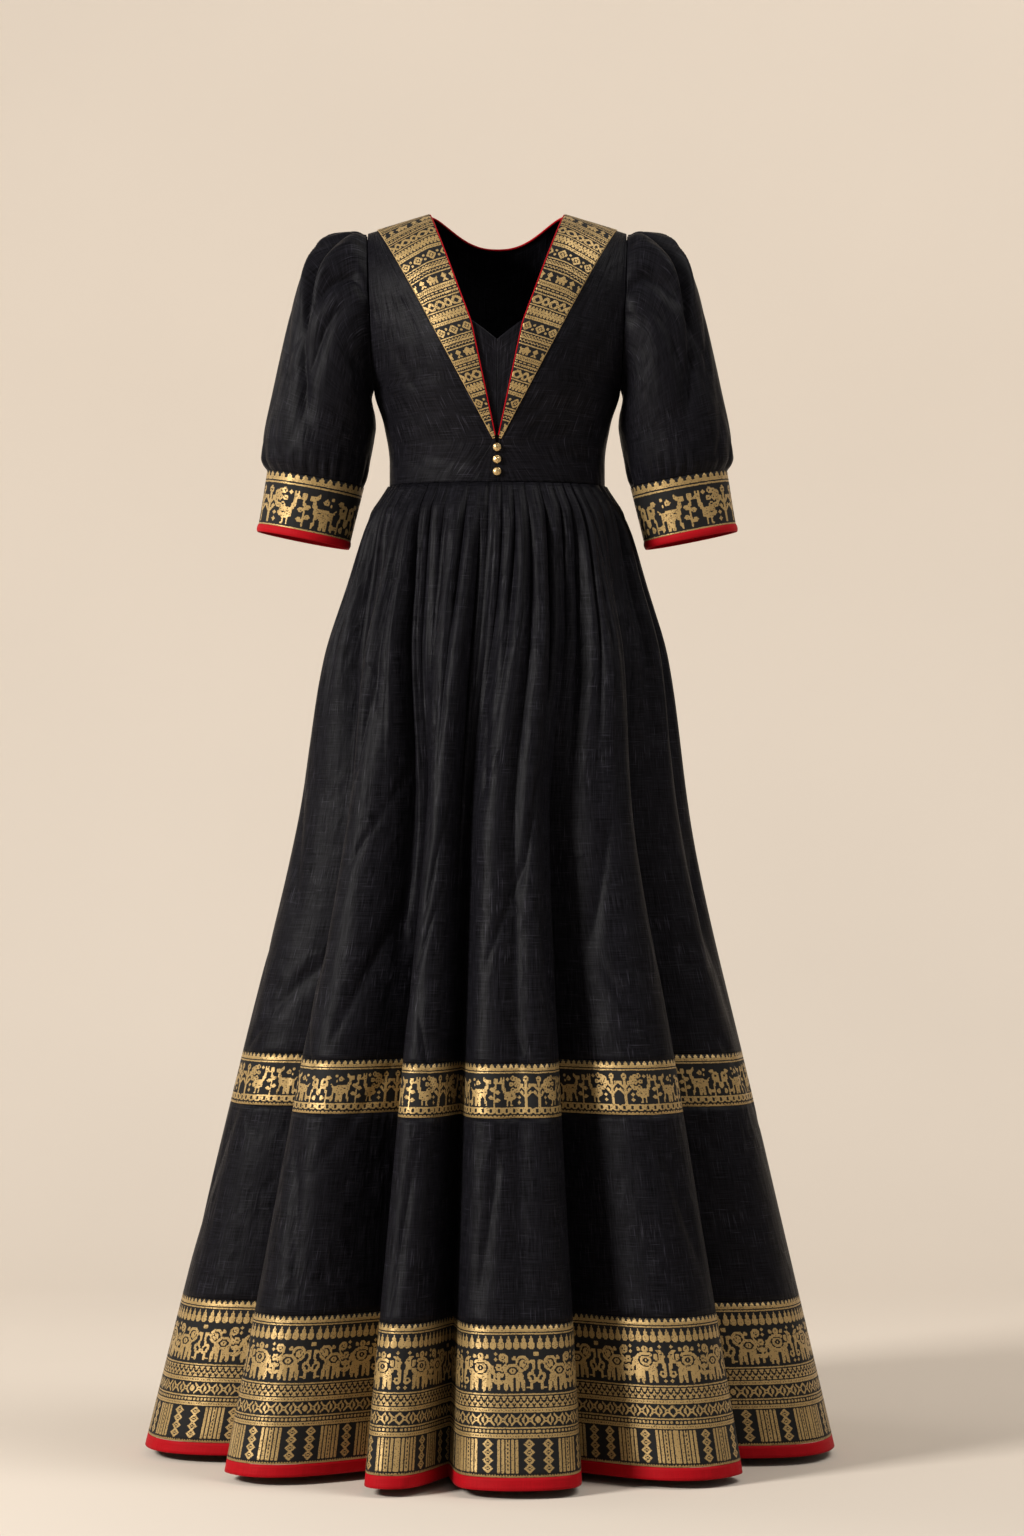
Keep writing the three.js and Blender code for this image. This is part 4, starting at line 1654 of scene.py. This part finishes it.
@dataclass
class Skirt:
    """The pleated skirt in five tiers, from the waist seam to the red edge."""

    cone: Profile = Profile(
        (-1.489, -1.020, -0.750, -0.540, -0.450, -0.375, -0.330),
        {
            "side": (0.420, 0.306, 0.244, 0.212, 0.184, 0.157, 0.131),
            "front": (0.400, 0.297, 0.232, 0.186, 0.154, 0.124, 0.097),
            "back": (0.402, 0.300, 0.235, 0.188, 0.154, 0.122, 0.092),
        },
    )
    folds: tuple[Fold, ...] = (
        Fold(-57, 0.100, 7.5, 3.0, (-0.56, -0.72, -1.02), (0.006, 0.007, 0.015)),
        Fold(-25.5, 0.096, 6.5, 2.4, (-0.60, -0.52, -1.00), (0.009, 0.006, 0.013)),
        Fold(-8.7, 0.062, 1.9, 1.9, (-0.56, -1.60, -1.45), (0.007, 0.012, 0.007)),
        Fold(20, 0.078, 2.4, 6.5, (-0.70, -0.58, -0.98), (0.010, 0.006, 0.012)),
        Fold(54, 0.088, 3.0, 7.0, (-0.55, -1.10, -0.80), (0.006, 0.013, 0.008)),
        Fold(100, 0.082, 4.0, 6.0, (-0.62, -0.90, -0.58), (0.008, 0.012, 0.006)),
        Fold(127, 0.092, 5.0, 3.5, (-0.54, -0.76, -1.05), (0.006, 0.008, 0.012)),
        Fold(150, 0.070, 3.0, 5.0, (-0.80, -0.56, -0.70), (0.011, 0.006, 0.008)),
        Fold(178, 0.090, 3.0, 6.5, (-0.58, -1.20, -0.86), (0.007, 0.013, 0.009)),
        Fold(205, 0.066, 3.5, 3.0, (-0.66, -0.55, -0.96), (0.008, 0.006, 0.012)),
        Fold(231, 0.094, 6.0, 3.0, (-0.57, -0.84, -0.60), (0.007, 0.011, 0.006)),
        Fold(256, 0.084, 3.5, 5.0, (-0.92, -0.58, -0.74), (0.012, 0.006, 0.009)),
    )
    fold_width: float = 0.11
    crease_depth: float = 3.0
    fold_start: float = -0.360
    waist_first: float = -60.2
    hem_sway: float = -0.008
    spread: tuple[float, ...] = (0, 0.06, 0.16, 0.32, 0.5, 0.68, 0.84, 0.94, 1)
    pleat_seam: float = 0.0018
    pleat_lift: float = 0.0046
    pleat_fade: tuple[float, float] = (0.44, 0.72)
    deepens: float = 0.75
    opening: float = 0.45
    opens: tuple[float, float] = (0.60, 1.05)
    belly: float = 0.042
    roundness: float = 2.0
    creases: tuple[Crease, ...] = (
        Crease(0.42, -0.64, 6, 0.10, 0.030, 0.0016),
        Crease(0.30, -0.86, -5, 0.12, 0.035, 0.0015),
        Crease(0.62, -0.92, 8, 0.14, 0.030, 0.0018),
        Crease(1.36, -0.70, -8, 0.12, 0.040, 0.0018),
        Crease(1.52, -0.80, 10, 0.10, 0.035, 0.0015),
        Crease(1.40, -0.62, 4, 0.08, 0.030, 0.0014),
        Crease(2.22, -0.66, -6, 0.10, 0.035, 0.0017),
        Crease(2.62, -0.74, 7, 0.14, 0.030, 0.0018),
        Crease(2.74, -0.90, -6, 0.12, 0.030, 0.0016),
        Crease(2.36, -1.18, 4, 0.20, 0.030, 0.0018),
        Crease(0.50, -1.20, -4, 0.18, 0.030, 0.0018),
        Crease(1.50, -1.22, 4, 0.20, 0.045, 0.0016),
        Crease(3.40, -0.80, 7, 0.16, 0.030, 0.0018),
        Crease(3.55, -1.16, -5, 0.18, 0.028, 0.0018),
        Crease(-0.45, -0.78, -6, 0.16, 0.030, 0.0016),
        Crease(-0.50, -1.16, 5, 0.18, 0.026, 0.0018),
        Crease(4.50, -0.84, 5, 0.14, 0.028, 0.0016),
        Crease(5.50, -0.74, -7, 0.14, 0.035, 0.0018),
        Crease(6.45, -0.92, 6, 0.16, 0.035, 0.0018),
        Crease(7.50, -0.78, -6, 0.12, 0.035, 0.0016),
        Crease(8.50, -1.10, 5, 0.18, 0.035, 0.0018),
        Crease(9.45, -0.82, 6, 0.14, 0.040, 0.0017),
        Crease(0.56, -0.74, 15, 0.11, 0.016, 0.0013),
        Crease(0.36, -0.99, -13, 0.13, 0.015, 0.0012),
        Crease(0.66, -1.08, 12, 0.12, 0.016, 0.0013),
        Crease(1.44, -0.90, 14, 0.15, 0.018, 0.0013),
        Crease(1.62, -1.02, -12, 0.12, 0.018, 0.0012),
        Crease(2.44, -0.84, 13, 0.12, 0.016, 0.0013),
        Crease(2.58, -1.02, -14, 0.14, 0.015, 0.0013),
        Crease(3.46, -0.96, -12, 0.13, 0.016, 0.0012),
        Crease(-0.36, -0.96, 13, 0.13, 0.016, 0.0013),
        Crease(-0.58, -0.88, -11, 0.11, 0.016, 0.0012),
        Crease(4.46, -1.04, -12, 0.14, 0.016, 0.0012),
        Crease(5.60, -0.96, 13, 0.13, 0.016, 0.0013),
        Crease(7.40, -0.98, -12, 0.13, 0.016, 0.0012),
        Crease(8.60, -0.88, 12, 0.12, 0.016, 0.0013),
    )

    def _valley(self, i: Array) -> Array:
        """The angle of valley i at the hem, in degrees."""
        angles = np.array([f.valley for f in self.folds])
        count = len(angles)
        return angles[np.mod(i, count)] + 360.0 * np.floor_divide(i, count)

    def _of(self, name: str, i: Array) -> Array:
        """One size of fold i."""
        return np.array([getattr(f, name) for f in self.folds])[np.mod(i, len(self.folds))]

    def _pleats(self, u: Array, z: Array) -> Array:
        """Find how far the small pleats stand out, from the seam to where each one ends.

        Args:
            u: The place round the skirt, counted in big folds.
            z: The height.

        Returns:
            How far the cloth stands out there.
        """
        count = 4 * len(self.folds)
        place = 4.0 * u + 0.30 * np.sin(2.1 * u + 0.4) + 0.22 * np.sin(5.3 * u + 1.1)
        place = place + 0.03 * np.sin(5.0 * u + 9.0 * z)
        rising = smooth(-z, 0.330, 0.395)
        out = np.zeros_like(u)
        seam = self.pleat_seam * (1.0 - smooth(-z, 0.345, 0.44))
        cell = np.floor(place)
        t = place - cell
        near, side = np.minimum(t, 1.0 - t), np.where(t < 0.5, cell, cell + 1.0)
        ridge = 1.0 - np.exp(-((near / (0.15 + 0.04 * np.sin(3.1 * side))) ** 1.15))
        lift = self.pleat_lift * (0.72 + 0.42 * np.sin(2.3 * side + 0.5)) * rising
        fade = 1.0 - smooth(-z + 0.06 * np.sin(1.7 * side), *self.pleat_fade)
        out += (seam + lift * fade) * (2.0 * ridge - 1.0)
        for k in range(count):
            fold, which = divmod(k, 4)
            if which == 0:
                continue
            size = self.folds[fold]
            end, strong = size.lasting[which - 1], size.strong[which - 1]
            away = np.mod(u - k / 4.0 + 6.0, 12.0) - 6.0
            along = smooth(-z, 0.345, 0.47) * (1.0 - smooth(-z, -end - 0.42 * (-end - 0.33), -end))
            wide = 0.055 + 0.035 * smooth(-z, 0.5, 1.3)
            out -= strong * along * np.exp(-np.abs(away / wide) ** 1.5)
        return out

    def at(self, u: Array, z: Array) -> Array:
        """Find a point of the skirt.

        Args:
            u: The place round it, counted in big folds.
            z: The height.

        Returns:
            The point.
        """
        fold = np.floor(u).astype(int)
        share = np.interp(u - fold, np.linspace(0, 1, len(self.spread)), self.spread)
        before, after = self._valley(fold), self._valley(fold + 1)
        at_hem = before + (after - before) * share
        at_waist = self.waist_first + u * 360.0 / len(self.folds)
        settled = smooth(-z, 0.355, 0.760)
        angle = np.radians(at_waist + (at_hem - at_waist) * settled)
        deepening = np.clip((self.fold_start - z) / (self.fold_start - HEM_Z), 0, 1.1)
        deepening = deepening**self.deepens
        open_ = 1.0 + self.opening - self.opening * smooth(-z, *self.opens)
        trough = deepening * (
            self._of("deep", fold) * bell((at_hem - before) / self._of("after", fold) / open_)
            + self._of("deep", fold + 1)
            * bell((after - at_hem) / self._of("before", fold + 1) / open_)
        )
        belly = self.belly * deepening * np.abs(2.0 * share - 1.0) ** self.roundness
        inward = trough + belly - self._pleats(u, z)
        depth = np.where(np.cos(angle) > 0, self.cone.read("front", z), self.cone.read("back", z))
        sway = self.hem_sway * np.clip((z - WAIST_Z) / (HEM_Z - WAIST_Z), 0, 1)
        return np.stack(
            [
                (self.cone.read("side", z) - inward) * np.sin(angle) + sway,
                -(depth - inward) * np.cos(angle),
                z + 0.0 * u,
            ],
            axis=-1,
        )

    def tier(self, name: str, low: float, high: float, columns: int, rows: int,
             start: float, end: float, finish: Material, width: float | None = None,
             height: float | None = None) -> bpy.types.Object:
        """Shape one tier, or half of it.

        Args:
            name: The piece's name.
            low: Its lower edge.
            high: Its upper edge.
            columns: Its squares across.
            rows: Its squares down.
            start: Where it starts, counted in folds.
            end: Where it ends.
            finish: Its material.
            width: The size of its weave across, if not its own.
            height: The size of its weave down, if not its own.

        Returns:
            The piece.
        """
        ring = end - start >= len(self.folds)

        def place(s: Array, t: Array) -> tuple[Array, Array]:
            """The fold and the height at a share across and down."""
            return start + (end - start) * s, high + (low - high) * t

        def surface(s: Array, t: Array) -> Array:
            """The tier."""
            return self.at(*place(s, t))

        def relief(s: Array, t: Array) -> Array:
            """Sum the creases that cross the folds.

            Args:
                s: Each point's share across.
                t: Each point's share down.

            Returns:
                How far each point stands out.
            """
            u, z = place(s, t)
            around = np.mod(u + 2.0, 12.0) - 2.0
            out = np.zeros_like(u)
            for c in self.creases:
                lean = math.tan(math.radians(c.turn)) / self.fold_width
                off = around - c.x - (z - c.y) * lean
                sharp = np.exp(-np.abs(off / c.wide) ** 1.15)
                out -= c.deep * sharp * np.exp(-((2.0 * (z - c.y) / c.long) ** 4))
            return out * self.crease_depth

        cloth = Cloth(name, columns, rows, surface, relief, ring, (0.0, 0.0, (low + high) / 2),
                      width, height)
        return cloth.build(finish)

    def build(self, black: Material, mid: Material, hem: Material,
              red: Material) -> list[bpy.types.Object]:
        """Make the five tiers.

        Args:
            black: The gown's own cloth.
            mid: The brocade of the upper border.
            hem: The brocade of the hem.
            red: The piping's cloth.

        Returns:
            The pieces.
        """
        made = []
        gap = 0.003
        for node, start, end in (("skirt_front", -1.0, 5.0), ("skirt_back", 5.0, 11.0)):
            piece = self.tier(node + "_cloth", -1.0137, WAIST_Z - SEAM, 384, 110,
                              start + gap, end - gap, black)
            made.append(stands_for(piece, node, "black_cloth",
                                   flat=(1.45, 0.72), held="gathered", area=0.70))
        rings = (
            ("mid_border_cloth", "mid_border", -1.0752, -1.0140, 10, mid, "brocade",
             (2.88, 0.063), 0.18, 2.88, 0.0615),
            ("lower_skirt_cloth", "lower_skirt", -1.3067, -1.0755, 28, black, "black_cloth",
             (3.3, 0.24), 0.75, None, None),
            ("hem_border_cloth", "hem_border", -1.4742, -1.3070, 26, hem, "brocade",
             (3.7, 0.172), 0.60, 3.8354, 0.172),
            ("hem_edge", "hem_piping", HEM_Z, -1.4745, 4, red, "red_piping",
             (3.9, 0.0155), 0.057, None, None),
        )
        for name, node, low, high, rows, finish, slot, flat, area, width, height in rings:
            piece = self.tier(name, low, high, 768, rows, -1.0, 11.0, finish, width, height)
            made.append(stands_for(piece, f"{node}_front {node}_back", slot,
                                   flat=flat, held="gathered", area=area))
        return made


# ------------------------------------------------------------------------- the studio


@dataclass(frozen=True)
class Studio:
    """A pale seamless floor and wall, soft lights and the camera."""

    floor_z: float = HEM_Z - 0.010
    paper: Colour = (0.690, 0.614, 0.530, 1.0)
    eye: tuple[float, float, float] = (0.018, -5.385, -0.672)
    lens: float = 103.5

    def camera(self) -> None:
        """Set the level camera before the gown."""
        data = bpy.data.cameras.new("camera")
        data.lens, data.sensor_width, data.clip_end = self.lens, 36.0, 60.0
        eye = bpy.data.objects.new("camera", data)
        eye.location, eye.rotation_euler = self.eye, (math.pi / 2, 0.0, 0.0)
        bpy.context.scene.collection.objects.link(eye)
        bpy.context.scene.camera = eye

    def backdrop(self) -> None:
        """Sweep one sheet of paper from the floor up behind the gown."""
        material, b, shader = begun("studio paper")
        place = b.node("ShaderNodeTexCoord").outputs["Object"]
        tone = b.span(b.noise(place, 1.1, 2.0), 0.3, 0.7, 0.0, 1.0)
        dim = tuple(0.965 * c for c in self.paper[:3]) + (1.0,)
        b.feed(shader.inputs["Base Color"], b.mix(tone, dim, self.paper))
        behind = b.node("ShaderNodeNewGeometry").outputs["Backfacing"]
        b.feed(shader.inputs["Alpha"], b.math("SUBTRACT", 1.0, behind))
        shader.inputs["Roughness"].default_value = 0.9
        bm = bmesh.new()
        line, corner = [(-12.0, 0.0)], 1.6
        for k in range(13):
            turn = math.pi / 2 * k / 12
            line.append((1.6 + corner * math.sin(turn), corner * (1 - math.cos(turn))))
        line.append((1.6 + corner, 7.0))
        verts = [bm.verts.new((-14.0, y, self.floor_z + z)) for y, z in line]
        edges = [bm.edges.new(pair) for pair in zip(verts, verts[1:])]
        made = bmesh.ops.extrude_edge_only(bm, edges=edges)
        moved = [v for v in made["geom"] if isinstance(v, bmesh.types.BMVert)]
        bmesh.ops.translate(bm, vec=(28.0, 0.0, 0.0), verts=moved)
        bm.normal_update()
        if sum(f.normal.z - f.normal.y for f in bm.faces) < 0:
            bmesh.ops.reverse_faces(bm, faces=bm.faces)
        mesh = bpy.data.meshes.new("studio_sweep")
        written(bm, mesh)
        placed(mesh, material)

    def lights(self) -> None:
        """Hang the soft lights and set the world's fill."""
        for name, place, aim, size, power in (
            ("key", (-3.3, -2.5, 1.0), (0.0, 0.0, -0.8), 1.0, 232.0),
            ("fill", (3.0, -3.4, 0.6), (0.0, 0.0, -0.8), 2.6, 3.0),
            ("rim", (-2.8, 1.2, 1.0), (0.0, 0.0, -0.6), 1.4, 20.0),
            ("wall", (2.6, -0.6, 3.0), (2.3, 3.0, -0.4), 2.6, 142.0),
        ):
            data = bpy.data.lights.new(name, "AREA")
            data.size, data.energy, data.color = size, power, (1.0, 0.965, 0.92)
            lamp = bpy.data.objects.new(name, data)
            lamp.location = place
            way = Vector(aim) - Vector(place)
            lamp.rotation_euler = way.to_track_quat("-Z", "Y").to_euler()
            bpy.context.scene.collection.objects.link(lamp)
        world = bpy.data.worlds.new("studio air")
        world.use_nodes = True
        sky = world.node_tree.nodes["Background"]
        sky.inputs["Color"].default_value = (1.0, 0.965, 0.925, 1.0)
        sky.inputs["Strength"].default_value = 0.20
        bpy.context.scene.world = world
        bpy.context.scene.view_settings.view_transform = "Standard"

    def build(self) -> None:
        """Set the whole studio."""
        self.camera()
        self.backdrop()
        self.lights()


# ------------------------------------------------------------------------------ main


def main() -> None:
    """Dress the gown's frame, piece by piece."""
    logging.basicConfig(level=logging.INFO, format="%(message)s")
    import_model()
    Studio().build()
    weave = handloom_group()
    black = Fabric("black handloom", (0.0003, 0.0003, 0.0006, 1.0), (0.0240, 0.0228, 0.0300, 1.0),
                   1.55, 0.48, 0.003, 0.056).make(weave)
    red = Fabric("red piping", (0.30, 0.0014, 0.0050, 1.0), (0.50, 0.0032, 0.0110, 1.0),
                 0.25, 0.66, 0.01, 0.10, 0.35).make(weave)
    gold = Metal("gold button", (0.86, 0.62, 0.30, 1.0)).make()
    hem = Brocade("hem brocade", HEM_CHART, 0.001522).make(weave)
    mid = Brocade("border brocade", BORDER_CHART, 0.0015).make(weave)
    cuff = Brocade("cuff brocade", CUFF_CHART, 0.00193, 17.0).make(weave)
    band = Brocade("band brocade", BAND_CHART, 0.00148, 0.0, 0.0650).make(weave)
    pieces = Bodice().build(black, band, red, gold)
    for side in Side:
        pieces += Sleeve(side).build(black, cuff, red)
    pieces += Skirt().build(black, mid, hem, red)
    for piece in pieces:
        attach(piece, "root")
        LOG.info("%s: %d faces", piece.name, len(piece.data.polygons))


if __name__ == "__main__":
    main()
